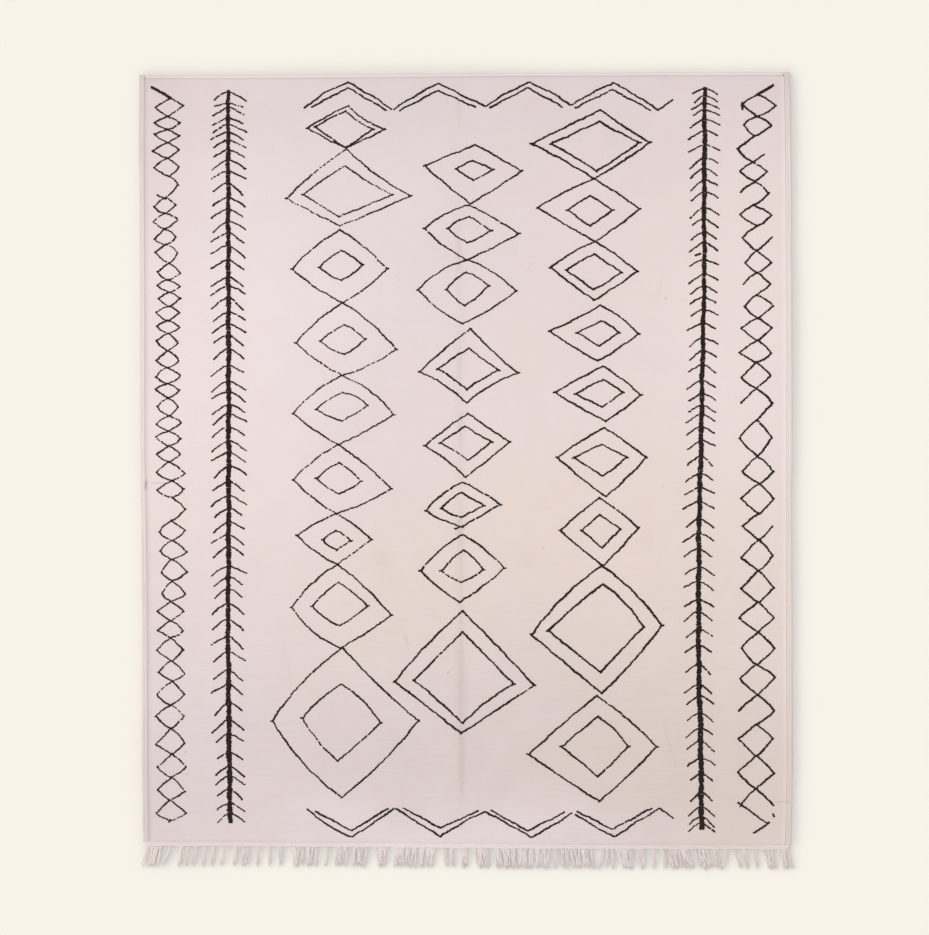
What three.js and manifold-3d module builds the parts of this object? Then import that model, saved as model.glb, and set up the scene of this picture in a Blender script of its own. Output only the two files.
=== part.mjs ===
// A flat-woven wool rug lying flat: one woven field with a soft fold mark down its middle,
// a wrapped selvedge along each side, a twined starting cord across the head and, across
// the foot, a twined end band whose warp ends lie free as a fringe.
//
// Millimetres. +X to the right, +Y towards the head, +Z up; the underside lies on z = 0
// and the origin is under the middle of the whole rug, fringe included.

import * as THREE from 'three';
import { mergeVertices } from 'three/addons/utils/BufferGeometryUtils.js';
import Module from 'manifold-3d';

// ---- driving dimensions ---------------------------------------------------------------

const HALF_WIDTH = 1256;
const HALF_LENGTH = 1530;

const FIELD_THICKNESS = 4;
const SELVEDGE_WIDTH = 22;
const SELVEDGE_THICKNESS = 7;
const START_CORD_WIDTH = 14;
const START_CORD_THICKNESS = 6;
const END_BAND_WIDTH = 17;
const FRINGE_THICKNESS = 5;
const CORD_ROUNDING = 2;

const STRAND_WIDTH_AT_ROOT = 8.6;
const STRAND_WIDTH_AT_TIP = 7.2;
const STRAND_REACH = 77;
const STRAND_REACH_VARIATION = 5;

const FOLD_MARK_X = -17;
const FOLD_MARK_WIDTH = 36;
const FOLD_MARK_DEPTH = 0.8;

const GAP = 0.3;
const CENTIMETRE = 10;

// How far each side stands from the middle line, at stations along the rug.
// The sides bow out a little and the foot is drawn in.
const SIDE_STATIONS = [
  { y: -1480, left: -1238, right: 1249 },
  { y: -1150, left: -1242, right: 1256 },
  { y: -690, left: -1243, right: 1254 },
  { y: -300, left: -1246, right: 1253 },
  { y: 100, left: -1253, right: 1253 },
  { y: 650, left: -1253, right: 1253 },
  { y: 1270, left: -1256, right: 1250 },
  { y: 1540, left: -1254, right: 1245 },
];

// Where the head of the rug ends, and where the weave stops at the foot, at stations across.
const END_STATIONS = [
  { x: -1270, head: 1518, foot: -1423 },
  { x: -900, head: 1518, foot: -1424 },
  { x: -400, head: 1521, foot: -1427 },
  { x: 200, head: 1527, foot: -1433 },
  { x: 700, head: 1529, foot: -1435 },
  { x: 1270, head: 1530, foot: -1436 },
];

// The fringe lies in runs of strands. Centimetres: a run's first and last roots, its number
// of strands, and how far its first and last tips lie to the right of their roots.
const FRINGE_RUNS = [
  { from: -122, to: -117, strands: 5, leanFirst: -1.9, leanLast: -1.8 },
  { from: -115, to: -113, strands: 2, leanFirst: -1.5, leanLast: -1.5 },
  { from: -109, to: -92, strands: 6, leanFirst: -1.2, leanLast: -1.4 },
  { from: -88.5, to: -84, strands: 3, leanFirst: -0.4, leanLast: 0.5 },
  { from: -80, to: -71, strands: 3, leanFirst: -0.4, leanLast: -0.1 },
  { from: -66.5, to: -62.5, strands: 4, leanFirst: 0.4, leanLast: 0 },
  { from: -61, to: -57.5, strands: 4, leanFirst: 0, leanLast: -0.3 },
  { from: -56, to: -53, strands: 2, leanFirst: -0.2, leanLast: -0.7 },
  { from: -49, to: -46, strands: 4, leanFirst: -0.2, leanLast: 0.2 },
  { from: -42.5, to: -38.5, strands: 4, leanFirst: 0.3, leanLast: -0.5 },
  { from: -34.5, to: -31, strands: 4, leanFirst: 0.6, leanLast: 0 },
  { from: -26.5, to: -24, strands: 3, leanFirst: -0.1, leanLast: 0 },
  { from: -23, to: -19, strands: 4, leanFirst: 0, leanLast: 0.1 },
  { from: -18, to: -12.5, strands: 6, leanFirst: 0.1, leanLast: -0.2 },
  { from: -9, to: -9, strands: 1, leanFirst: 1.3, leanLast: 1.3 },
  { from: -4.5, to: -0.5, strands: 4, leanFirst: 0.4, leanLast: 0.3 },
  { from: 3.5, to: 8, strands: 5, leanFirst: 1, leanLast: 1 },
  { from: 12, to: 25.5, strands: 13, leanFirst: 0.6, leanLast: 0 },
  { from: 27, to: 31.5, strands: 5, leanFirst: -0.3, leanLast: -0.6 },
  { from: 32.7, to: 37, strands: 3, leanFirst: 0, leanLast: 0 },
  { from: 38.5, to: 46.5, strands: 6, leanFirst: 1.7, leanLast: 0 },
  { from: 48.5, to: 48.5, strands: 1, leanFirst: 1.6, leanLast: 1.6 },
  { from: 53, to: 56.5, strands: 3, leanFirst: 0, leanLast: -0.3 },
  { from: 58.5, to: 63, strands: 5, leanFirst: 1.9, leanLast: 0.9 },
  { from: 66, to: 67.5, strands: 2, leanFirst: 0.7, leanLast: 1.3 },
  { from: 72, to: 75.5, strands: 2, leanFirst: 0.1, leanLast: 0.8 },
  { from: 77, to: 84.5, strands: 7, leanFirst: 1.9, leanLast: 3.2 },
  { from: 87.5, to: 93, strands: 4, leanFirst: 3.2, leanLast: 1.9 },
  { from: 95.5, to: 100, strands: 3, leanFirst: 0.7, leanLast: -0.6 },
  { from: 103, to: 109.5, strands: 3, leanFirst: 2.5, leanLast: 2.1 },
  { from: 114, to: 118, strands: 4, leanFirst: 1.9, leanLast: 1.4 },
  { from: 120, to: 123.4, strands: 4, leanFirst: 1, leanLast: 1.2 },
];

// ---- helpers --------------------------------------------------------------------------

const wasm = await Module();
wasm.setup();

/** A fixed, uneven number from 0 to 1 for the nth of many like pieces. */
function uneven(n) {
  const spread = Math.sin(n * 127.1 + 311.7) * 43758.5453;
  return spread - Math.floor(spread);
}

/** Reads one column of a station table at any place between its stations. */
function alongStations(stations, place, at, column) {
  let next = stations.findIndex((station) => station[place] >= at);
  next = Math.min(Math.max(next, 1), stations.length - 1);
  const before = stations[next - 1];
  const after = stations[next];
  const share = (at - before[place]) / (after[place] - before[place]);
  return THREE.MathUtils.lerp(before[column], after[column], share);
}

const sideAt = (side, y) => alongStations(SIDE_STATIONS, 'y', y, side);
const headAt = (x) => alongStations(END_STATIONS, 'x', x, 'head');
const footAt = (x) => alongStations(END_STATIONS, 'x', x, 'foot');

/** The line of one side, moved in by an inset, from one height up the rug to another. */
function sideLine(side, inset, fromY, toY) {
  const inward = side === 'left' ? inset : -inset;
  const between = SIDE_STATIONS.map(({ y }) => y).filter((y) => y > fromY && y < toY);
  const heights = [fromY, ...between, toY];
  return heights.map((y) => new THREE.Vector2(sideAt(side, y) + inward, y));
}

/** The line of the head or the foot, moved down by a drop, from one place across to another. */
function endLine(end, drop, fromX, toX) {
  const between = END_STATIONS.map(({ x }) => x).filter((x) => x > fromX && x < toX);
  const places = [fromX, ...between, toX];
  return places.map((x) => new THREE.Vector2(x, alongStations(END_STATIONS, 'x', x, end) - drop));
}

/** A closed outline, laid flat, raised to a thickness with its underside on z = 0. */
function raised(outline, thickness, rounding = 0) {
  const geometry = new THREE.ExtrudeGeometry(new THREE.Shape(outline), {
    depth: thickness - 2 * rounding,
    bevelEnabled: rounding > 0,
    bevelThickness: rounding,
    bevelSize: rounding,
    bevelOffset: -rounding,
    bevelSegments: 2,
  });
  return geometry.translate(0, 0, rounding);
}

/** Turns a geometry into a solid that can be cut. */
function solidOf(geometry) {
  const bare = geometry.clone();
  bare.deleteAttribute('normal');
  bare.deleteAttribute('uv');
  const merged = mergeVertices(bare, 1e-3);
  return new wasm.Manifold(new wasm.Mesh({
    numProp: 3,
    vertProperties: Float32Array.from(merged.attributes.position.array),
    triVerts: Uint32Array.from(merged.index.array),
  }));
}

/** Turns a cut solid back into a geometry. */
function geometryOf(solid) {
  const mesh = solid.getMesh();
  const geometry = new THREE.BufferGeometry();
  geometry.setAttribute('position', new THREE.BufferAttribute(mesh.vertProperties, 3));
  geometry.setIndex(new THREE.BufferAttribute(mesh.triVerts, 1));
  geometry.computeVertexNormals();
  return geometry;
}

// ---- the pieces -----------------------------------------------------------------------

/** The woven ground, with the soft trough of its fold mark pressed into the top. */
function wovenField() {
  const inset = SELVEDGE_WIDTH + GAP;
  const headDrop = START_CORD_WIDTH + GAP;
  const fullSide = (side) => {
    const cornerAt = (y) => sideAt(side, y) + (side === 'left' ? inset : -inset);
    const low = footAt(cornerAt(-HALF_LENGTH));
    const high = headAt(cornerAt(HALF_LENGTH)) - headDrop;
    return sideLine(side, inset, low, high);
  };
  const left = fullSide('left');
  const right = fullSide('right');
  const head = endLine('head', headDrop, left.at(-1).x, right.at(-1).x).slice(1, -1);
  const foot = endLine('foot', 0, left[0].x, right[0].x).slice(1, -1);
  const outline = [...left, ...head, ...right.reverse(), ...foot.reverse()];
  const ground = solidOf(raised(outline, FIELD_THICKNESS));

  const trough = new THREE.Shape([
    new THREE.Vector2(-FOLD_MARK_WIDTH / 2, FIELD_THICKNESS),
    new THREE.Vector2(0, FIELD_THICKNESS - FOLD_MARK_DEPTH),
    new THREE.Vector2(FOLD_MARK_WIDTH / 2, FIELD_THICKNESS),
    new THREE.Vector2(0, FIELD_THICKNESS * 2),
  ]);
  const troughBar = new THREE.ExtrudeGeometry(trough, {
    depth: 2.2 * HALF_LENGTH,
    bevelEnabled: false,
  });
  troughBar.rotateX(Math.PI / 2);
  troughBar.translate(FOLD_MARK_X, 1.1 * HALF_LENGTH, 0);
  return geometryOf(ground.subtract(solidOf(troughBar)));
}

/** One side's selvedge, following the bow of that side. */
function selvedge(side) {
  const edge = side === 'left' ? -HALF_WIDTH : HALF_WIDTH;
  const outer = sideLine(side, 0, footAt(edge) + GAP, headAt(edge));
  const inner = sideLine(side, SELVEDGE_WIDTH, footAt(edge) + GAP, headAt(edge));
  return raised([...outer, ...inner.reverse()], SELVEDGE_THICKNESS, CORD_ROUNDING);
}

/** The twined cord across the head, between the two selvedges. */
function startingCord() {
  const inset = SELVEDGE_WIDTH + GAP;
  const left = sideAt('left', HALF_LENGTH) + inset;
  const right = sideAt('right', HALF_LENGTH) - inset;
  const top = endLine('head', 0, left, right);
  const under = endLine('head', START_CORD_WIDTH, left, right);
  return raised([...top, ...under.reverse()], START_CORD_THICKNESS, CORD_ROUNDING);
}

/** Every strand of the fringe: its root, its tip's shift and its reach, left to right. */
function fringeStrands() {
  const strands = [];
  for (const run of FRINGE_RUNS) {
    for (let i = 0; i < run.strands; i += 1) {
      const share = run.strands === 1 ? 0 : i / (run.strands - 1);
      const serial = strands.length;
      strands.push({
        root: CENTIMETRE * THREE.MathUtils.lerp(run.from, run.to, share),
        lean: CENTIMETRE * THREE.MathUtils.lerp(run.leanFirst, run.leanLast, share),
        reach: STRAND_REACH + STRAND_REACH_VARIATION * (uneven(serial) - 1),
      });
    }
  }
  return strands;
}

/** The end band across the foot and all its strands, one comb. */
function fringeComb() {
  const left = sideAt('left', footAt(-HALF_WIDTH));
  const right = sideAt('right', footAt(HALF_WIDTH));
  const top = endLine('foot', GAP, left, right);
  const bandFoot = (x) => footAt(x) - GAP - END_BAND_WIDTH;
  const outline = [...top, new THREE.Vector2(right, bandFoot(right))];
  for (const strand of fringeStrands().reverse()) {
    const { root, lean, reach } = strand;
    const rootHalf = STRAND_WIDTH_AT_ROOT / 2;
    const tipHalf = STRAND_WIDTH_AT_TIP / 2;
    const middle = new THREE.Vector2(root + 0.36 * lean, bandFoot(root) - reach / 2);
    const tip = new THREE.Vector2(root + lean, bandFoot(root) - reach);
    outline.push(
      new THREE.Vector2(root + rootHalf, bandFoot(root + rootHalf)),
      new THREE.Vector2(middle.x + rootHalf, middle.y),
      new THREE.Vector2(tip.x + tipHalf, tip.y),
      new THREE.Vector2(tip.x - tipHalf, tip.y),
      new THREE.Vector2(middle.x - rootHalf, middle.y),
      new THREE.Vector2(root - rootHalf, bandFoot(root - rootHalf)),
    );
  }
  outline.push(new THREE.Vector2(left, bandFoot(left)));
  return raised(outline, FRINGE_THICKNESS);
}

// ---- finishes and assembly ------------------------------------------------------------

const ivoryWool = new THREE.MeshStandardMaterial({ color: 0xe6d5d1, roughness: 0.95, metalness: 0 });
const selvedgeWool = new THREE.MeshStandardMaterial({ color: 0xdccac4, roughness: 0.95, metalness: 0 });
const cordWool = new THREE.MeshStandardMaterial({ color: 0xe9dad5, roughness: 0.95, metalness: 0 });
const fringeWool = new THREE.MeshStandardMaterial({ color: 0xdccdc6, roughness: 0.95, metalness: 0 });

const pieces = [
  { name: 'woven_field', geometry: wovenField(), material: ivoryWool },
  { name: 'selvedge_left', geometry: selvedge('left'), material: selvedgeWool },
  { name: 'selvedge_right', geometry: selvedge('right'), material: selvedgeWool },
  { name: 'starting_cord', geometry: startingCord(), material: cordWool },
  { name: 'fringe_comb', geometry: fringeComb(), material: fringeWool },
];

const group = new THREE.Group();
for (const { name, geometry, material } of pieces) {
  const mesh = new THREE.Mesh(geometry, material);
  mesh.name = name;
  group.add(mesh);
}

export default group;
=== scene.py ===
"""Berber kilim: the finish of a hand-woven wool rug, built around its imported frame.

The rug lies flat. Its ground is a weft-faced wool cloth with two wrapped bundles of warp along
each side, a twined cord across the head, and a twined band with a fringe across the foot. Dark
wool knots draw the motifs: three columns of lozenges, and down each side a fishbone and a chain,
with a double zigzag at each end. Everything is in metres in the frame's own axes: +X to the
right, +Y towards the head, +Z up, with the underside on z = 0.
"""

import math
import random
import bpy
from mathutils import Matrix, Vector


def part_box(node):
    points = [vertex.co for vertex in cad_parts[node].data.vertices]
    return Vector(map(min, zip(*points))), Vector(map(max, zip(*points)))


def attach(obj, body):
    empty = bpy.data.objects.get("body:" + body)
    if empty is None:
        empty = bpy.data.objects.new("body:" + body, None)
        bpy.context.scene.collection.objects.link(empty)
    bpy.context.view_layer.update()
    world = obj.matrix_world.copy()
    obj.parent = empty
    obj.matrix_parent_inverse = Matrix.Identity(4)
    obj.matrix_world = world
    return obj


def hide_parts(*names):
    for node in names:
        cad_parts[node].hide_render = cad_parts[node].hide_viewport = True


bl_info = {
    "name": "Berber Kilim",
    "version": (1, 0, 0),
    "blender": (4, 5, 0),
    "location": "3D View > Sidebar > Kilim",
    "description": "Weaves a flat wool rug with knotted motifs, selvedges and a fringe",
    "category": "Add Mesh",
}

from collections import namedtuple

import bmesh
import bpy
import numpy as np
from bpy.props import FloatProperty, FloatVectorProperty, IntProperty, PointerProperty

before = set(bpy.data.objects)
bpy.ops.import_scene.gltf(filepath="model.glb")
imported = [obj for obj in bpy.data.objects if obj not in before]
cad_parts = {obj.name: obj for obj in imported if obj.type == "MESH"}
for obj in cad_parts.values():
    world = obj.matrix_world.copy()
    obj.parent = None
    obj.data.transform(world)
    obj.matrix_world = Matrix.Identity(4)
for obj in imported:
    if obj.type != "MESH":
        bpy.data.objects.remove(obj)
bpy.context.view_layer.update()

CM = 0.01
MM = 0.001
FIELD_LOW, FIELD_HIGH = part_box("woven_field")
SELVEDGE_LOW, SELVEDGE_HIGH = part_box("selvedge_left")
CORD_LOW, CORD_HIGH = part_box("starting_cord")
FRINGE_LOW, FRINGE_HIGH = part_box("fringe_comb")
TURN = 2 * math.pi

# ---- the rug's outline, in centimetres ----------------------------------------------------------

Side = namedtuple("Side", "y left right")
SIDES = [
    Side(y=-148.0, left=-123.8, right=124.9),
    Side(y=-115.0, left=-124.2, right=125.6),
    Side(y=-69.0, left=-124.3, right=125.4),
    Side(y=-30.0, left=-124.6, right=125.3),
    Side(y=10.0, left=-125.3, right=125.3),
    Side(y=65.0, left=-125.3, right=125.3),
    Side(y=127.0, left=-125.6, right=125.0),
    Side(y=154.0, left=-125.4, right=124.5),
]

End = namedtuple("End", "x head foot")
ENDS = [
    End(x=-127.0, head=151.8, foot=-142.3),
    End(x=-90.0, head=151.8, foot=-142.4),
    End(x=-40.0, head=152.1, foot=-142.7),
    End(x=20.0, head=152.7, foot=-143.3),
    End(x=70.0, head=152.9, foot=-143.5),
    End(x=127.0, head=153.0, foot=-143.6),
]

# The fringe lies in runs of strands: the first and last root, the number of strands, and how far
# the first and last tip lie to the right of their roots.
Run = namedtuple("Run", "start end strands first_lean last_lean")
FRINGE = [
    Run(-121.6, -121.6, 1, -2.4, -2.4),
    Run(-120.6, -117, 4, -1.8, -1.5),
    Run(-113, -113, 1, -3.2, -3.2),
    Run(-109, -106.7, 2, -1.5, -1.0),
    Run(-103.1, -100, 2, -1.5, -1.4),
    Run(-96.6, -92.1, 2, -0.5, -1.9),
    Run(-88.2, -88.2, 1, -0.7, -0.7),
    Run(-85.3, -84.2, 2, 0.3, 0.1),
    Run(-79.4, -71, 3, -0.7, 0.2),
    Run(-66.5, -62.5, 4, 0.4, 0),
    Run(-61, -57.5, 4, 0, -0.3),
    Run(-53, -53, 1, -1.4, -1.4),
    Run(-48.6, -45.7, 4, -1.1, -0.7),
    Run(-42.5, -38.5, 4, 0.1, -0.6),
    Run(-34.3, -31, 4, 0.2, -0.2),
    Run(-26.1, -24.2, 3, -0.8, -0.8),
    Run(-23, -19, 4, 0, 0.1),
    Run(-18, -12.5, 6, 0.1, -0.2),
    Run(-8.4, -5.4, 2, 1.3, 1.4),
    Run(-1.3, -0.4, 2, 0.1, 0.1),
    Run(3.5, 8, 5, 1, 1),
    Run(11.9, 15.2, 4, 1.6, 0.6),
    Run(16.5, 25.5, 9, 0.4, 0),
    Run(27, 31.5, 5, -0.3, -0.2),
    Run(34.4, 37.2, 2, 0, 0),
    Run(38.8, 46.5, 6, 1.7, 0),
    Run(48.1, 48.1, 1, 1.7, 1.7),
    Run(53.1, 56.3, 3, -1.0, 0.4),
    Run(58.5, 63, 5, 2.4, 1.2),
    Run(66.4, 67.9, 2, 0.6, 1.0),
    Run(72.2, 75.5, 2, 0, 0.8),
    Run(78, 85, 7, 1.3, 3.2),
    Run(87.5, 92.3, 4, 2.9, 2.0),
    Run(95.5, 96.4, 2, 1.1, 0.8),
    Run(100, 100, 1, -1.8, -1.8),
    Run(103.1, 110.9, 3, 2.4, 1.1),
    Run(114.8, 117.8, 4, 2.0, 1.5),
    Run(120.6, 123.2, 4, 1.0, 2.1),
]

# ---- the weaver's charts, in centimetres from the middle of the motifs --------------------------

# Where the middle of the charts stands on the rug.
CHART_X = -0.18
CHART_Y = 0.05

# A lozenge inside a lozenge. Its four corners, the inner one's four, how far its sides swell
# outwards (upper right, lower right, lower left, upper left), how worn and how full its knots are,
# and the swell of the inner sides where it isn't half that of the outer.
Lozenge = namedtuple(
    "Lozenge",
    "top right foot left inner_top inner_right inner_foot inner_left bows worn full inner_bows",
    defaults=[None],
)
LOZENGES = {
    "left": [
        Lozenge((-45, 140), (-31, 131), (-46, 124), (-60.5, 131.5),
                (-46, 138), (-35.5, 131), (-46, 124), (-57.5, 132),
                (-0.9, 0.3, 0.3, 0.4), 0.06, 0.92),
        Lozenge((-45.5, 123.5), (-21, 105.5), (-48, 94), (-68.5, 104.5),
                (-46, 117), (-28, 106), (-48.5, 97.5), (-62, 106),
                (-1.2, 0.2, 0.2, 0.9), 0.15, 0.87),
        Lozenge((-48, 92.5), (-30, 77.5), (-47, 64.5), (-66.5, 77.5),
                (-47.5, 84.5), (-39.5, 79), (-47.5, 73), (-56, 78),
                (0.8, 0.9, 0.9, 1), 0.10, 0.92),
        Lozenge((-47, 64.5), (-26.5, 46.5), (-47, 36.5), (-65, 49),
                (-46.5, 56), (-38.5, 50.5), (-46.5, 44.5), (-55.5, 49.5),
                (1.2, 0.9, 0.9, 1), 0.15, 0.86),
        Lozenge((-47.5, 36.5), (-27.5, 21.5), (-48.5, 10), (-66, 22),
                (-47, 30), (-37.5, 25), (-47.5, 19), (-57, 23.5),
                (1.9, 0.4, 0.7, 1.3), 0.18, 0.86),
        Lozenge((-49, 10), (-28.5, -7), (-49.5, -16.5), (-66, -3.5),
                (-48.5, 3), (-40, -4), (-48.5, -9), (-57, -3),
                (0.9, 0.8, 0.8, 0.9), 0.12, 0.91),
        Lozenge((-49.5, -16.5), (-36, -26.5), (-49, -36), (-64.5, -25),
                (-49.5, -23), (-44, -27), (-49.5, -30.5), (-54.5, -26.5),
                (0.6, 0, 0.9, 0.6), 0.12, 0.91),
        Lozenge((-49, -36), (-28.5, -55.5), (-48, -68), (-66.5, -52.5),
                (-48.5, -43), (-37.5, -52), (-48, -59.5), (-58.5, -52),
                (0.9, 0.6, 2, 1.4), 0.1, 0.91),
        Lozenge((-47, -68), (-18, -96), (-47.5, -125.5), (-74, -96),
                (-47.5, -82), (-32.5, -97), (-49, -111.5), (-62.5, -95),
                (-0.8, 1.4, 2.1, 1.9), 0.08, 0.92, (1.3, 0.2, 0.9, 0.9)),
    ],
    "middle": [
        Lozenge((4, 125), (21.5, 115), (2, 102.5), (-15.5, 117),
                (3, 119), (10.5, 115.5), (3, 111.5), (-3.5, 116),
                (0.2, 0.3, 0.3, 0.2), 0.05, 0.93),
        Lozenge((1.5, 102), (20.5, 91), (1, 81), (-15.5, 93),
                (1.5, 97.5), (10, 92), (1, 87.5), (-6.5, 93),
                (0.4, 0.3, 1.1, 1.2), 0.05, 0.93),
        Lozenge((1, 81), (19.5, 69), (-1, 56.5), (-18, 69.5),
                (0.5, 76), (9, 71), (0, 63.5), (-7, 69.5),
                (1.2, 0.9, 1.2, 1.7), 0.03, 0.87),
        Lozenge((2, 54.5), (20, 37.5), (0.5, 26), (-17.5, 38),
                (1.5, 47), (13, 38.5), (0.5, 31), (-10.5, 39),
                (-0.4, -1, -1, 0.4), 0.05, 0.93),
        Lozenge((1, 22), (17, 11), (0, -2.5), (-15.5, 9.5),
                (0, 17), (10, 11), (1, 4), (-9.5, 10.5),
                (-0.1, 0.3, -0.8, 0.3), 0.08, 0.93),
        Lozenge((-1, -4.5), (13.5, -13), (-1, -21.5), (-15, -15.5),
                (-1.5, -8.5), (7, -13.5), (-1.5, -18), (-9, -14.5),
                (0.5, -0.1, 0.7, 1.2), 0.05, 1.0),
        Lozenge((-1, -24.5), (15, -37.5), (-2, -50.5), (-17, -38.5),
                (-0.5, -30.5), (7, -38), (-1.5, -43), (-9, -38.5),
                (0.9, 0.5, 0.7, 1.1), 0.08, 1.0),
        Lozenge((-1, -54), (26.5, -82.5), (-1.5, -101), (-27, -81),
                (-1, -62), (18.5, -82), (-1, -97), (-19.5, -80.5),
                (0.3, -0.1, -0.1, 0.9), 0.04, 1.02, (0.1, -0.9, -0.3, 0.1)),
    ],
    "right": [
        Lozenge((52, 138.5), (71, 126), (49.5, 112), (25.5, 125.5),
                (51.5, 134), (67, 126), (50.5, 115), (33, 125.5),
                (-0.4, 0.3, -0.5, 0), 0.01, 1.08),
        Lozenge((49.5, 112), (67, 100.5), (50, 88), (28, 101),
                (48, 105.5), (56.5, 100), (48, 94), (39.5, 100),
                (0.3, 0.3, 0.3, 0.6), 0.01, 0.97),
        Lozenge((50, 88), (66, 76.5), (49.5, 65.5), (33, 78),
                (49.5, 83), (60, 76), (49.5, 69.5), (39, 77),
                (0.4, 0.3, 0.3, 0.8), 0.01, 0.99),
        Lozenge((52, 63.5), (66.5, 52.5), (51, 42), (32.5, 53.5),
                (52, 57.5), (59, 53), (51.5, 48), (43, 53),
                (0.9, 0.3, 0.3, -0.3), 0.01, 0.98),
        Lozenge((53, 40), (67.5, 29), (54, 19), (34.5, 30),
                (53, 35), (60.5, 30), (52.5, 24.5), (42.5, 29.5),
                (0.5, 0.3, 0.3, 0.3), 0.01, 0.98),
        Lozenge((53.5, 16.5), (69.5, 5), (54, -10), (35.5, 5),
                (52.5, 10), (62, 5), (53, -2), (42, 5),
                (0.3, 0.4, 0.4, 0.5), 0.01, 0.98),
        Lozenge((51.5, -10.5), (66.5, -22), (53, -36.5), (36.5, -23),
                (51.5, -17), (59.5, -22.5), (52.5, -29.5), (45, -23),
                (0.5, 0.3, 0.3, 0.3), 0.01, 0.98),
        Lozenge((52.5, -36.5), (75.5, -59.5), (52.5, -85.5), (25.5, -63),
                (53, -43.5), (68.5, -60), (52, -77.5), (32, -61.5),
                (1.5, 0.8, 0.1, 1.7), 0.0, 1.08, (1.1, -0.1, 0.0, 0.5)),
        Lozenge((50.5, -86.5), (73.5, -106), (51.5, -127), (24.5, -109),
                (51, -94.5), (62.5, -106), (51, -117.5), (37, -106),
                (0.9, 0.5, 0.2, 0.4), 0.02, 0.98, (1.0, 0.2, -0.1, 0.1)),
    ],
}

# A chain is a string of small lozenges. Each row is a section of it: the height of each lozenge,
# where they join, how far across their corners stand, the share of knots worn away, and how far
# down each lozenge its corners stand, as a share. A chain also says how full its knots are.
Links = namedtuple("Links", "heights join left right worn waist", defaults=[0.5])
# One side of one lozenge that the weaver left out, in whole or in part.
Skipped = namedtuple("Skipped", "lozenge side keeps")
Chain = namedtuple("Chain", "top full sections skipped")
CHAINS = {
    "left": Chain(
        top=(-113, 143),
        full=0.89,
        sections=[
            Links((7,), -113.8, -118.8, -108.5, 0.10),
            Links((5, 5, 6, 7), -114.2, -119.5, -109.9, 0.10),
            Links((8.3,), -115, -119.9, -109.7, 0.11),
            Links((6, 6, 6), -115.1, -119.8, -110.9, 0.11),
            Links((7,), -113.8, -119, -109.8, 0.11),
            Links((6.5, 4.7, 5.5, 5.5, 4.8), -114.1, -118.2, -109.6, 0.10),
            Links((6.7, 6.5, 6.2, 5.5, 6.8), -114, -118.7, -109.9, 0.09),
            Links((5.8, 5.8, 6), -114, -118.6, -109.3, 0.1),
            Links((7.4, 6.4), -112.6, -118, -108, 0.1),
            Links((8.8, 7.5, 7.4, 8.2, 7.9), -112.6, -116.8, -107.2, 0.08, 0.56),
            Links((7.4, 6.6, 8.8, 7.9, 9.1), -112.8, -118, -108, 0.08, 0.56),
            Links((9, 9.8, 8.9, 8.8, 8), -112.9, -118.3, -107.6, 0.13, 0.55),
        ],
        skipped=[
            Skipped(lozenge=5, side="left", keeps="none"),
            Skipped(lozenge=25, side="left", keeps="none"),
        ],
    ),
    "right": Chain(
        top=(112.3, 144.3),
        full=1.03,
        sections=[
            Links((8.3,), 111.9, 106.1, 119.2, 0),
            Links((7.5,), 111.6, 106.8, 117.3, 0),
            Links((10,), 110.9, 104.8, 118, 0),
            Links((7.5, 9), 111.2, 105.8, 116.2, 0.02),
            Links((8, 9.5), 112.2, 106.1, 117.3, 0.02),
            Links((8.5, 8.5, 9), 112.2, 107.2, 117.7, 0.02),
            Links((8.5, 8.5, 10, 12, 14), 112, 105.8, 117.4, 0.02),
            Links((10.5, 11.5, 10, 12, 12), 112.8, 106, 118, 0.02),
            Links((11.5, 12.5, 11.5, 11.5, 12), 112.2, 105.6, 118.4, 0.02),
            Links((12.5, 13.5), 111.4, 105.2, 118.3, 0.02),
        ],
        skipped=[
            Skipped(lozenge=2, side="right", keeps="none"),
            Skipped(lozenge=4, side="left", keeps="upper"),
            Skipped(lozenge=6, side="right", keeps="lower"),
            Skipped(lozenge=8, side="left", keeps="upper"),
            Skipped(lozenge=13, side="left", keeps="upper"),
            Skipped(lozenge=17, side="right", keeps="lower"),
            Skipped(lozenge=23, side="left", keeps="upper"),
            Skipped(lozenge=26, side="left", keeps="upper"),
            Skipped(lozenge=26, side="right", keeps="upper"),
        ],
    ),
}

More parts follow.
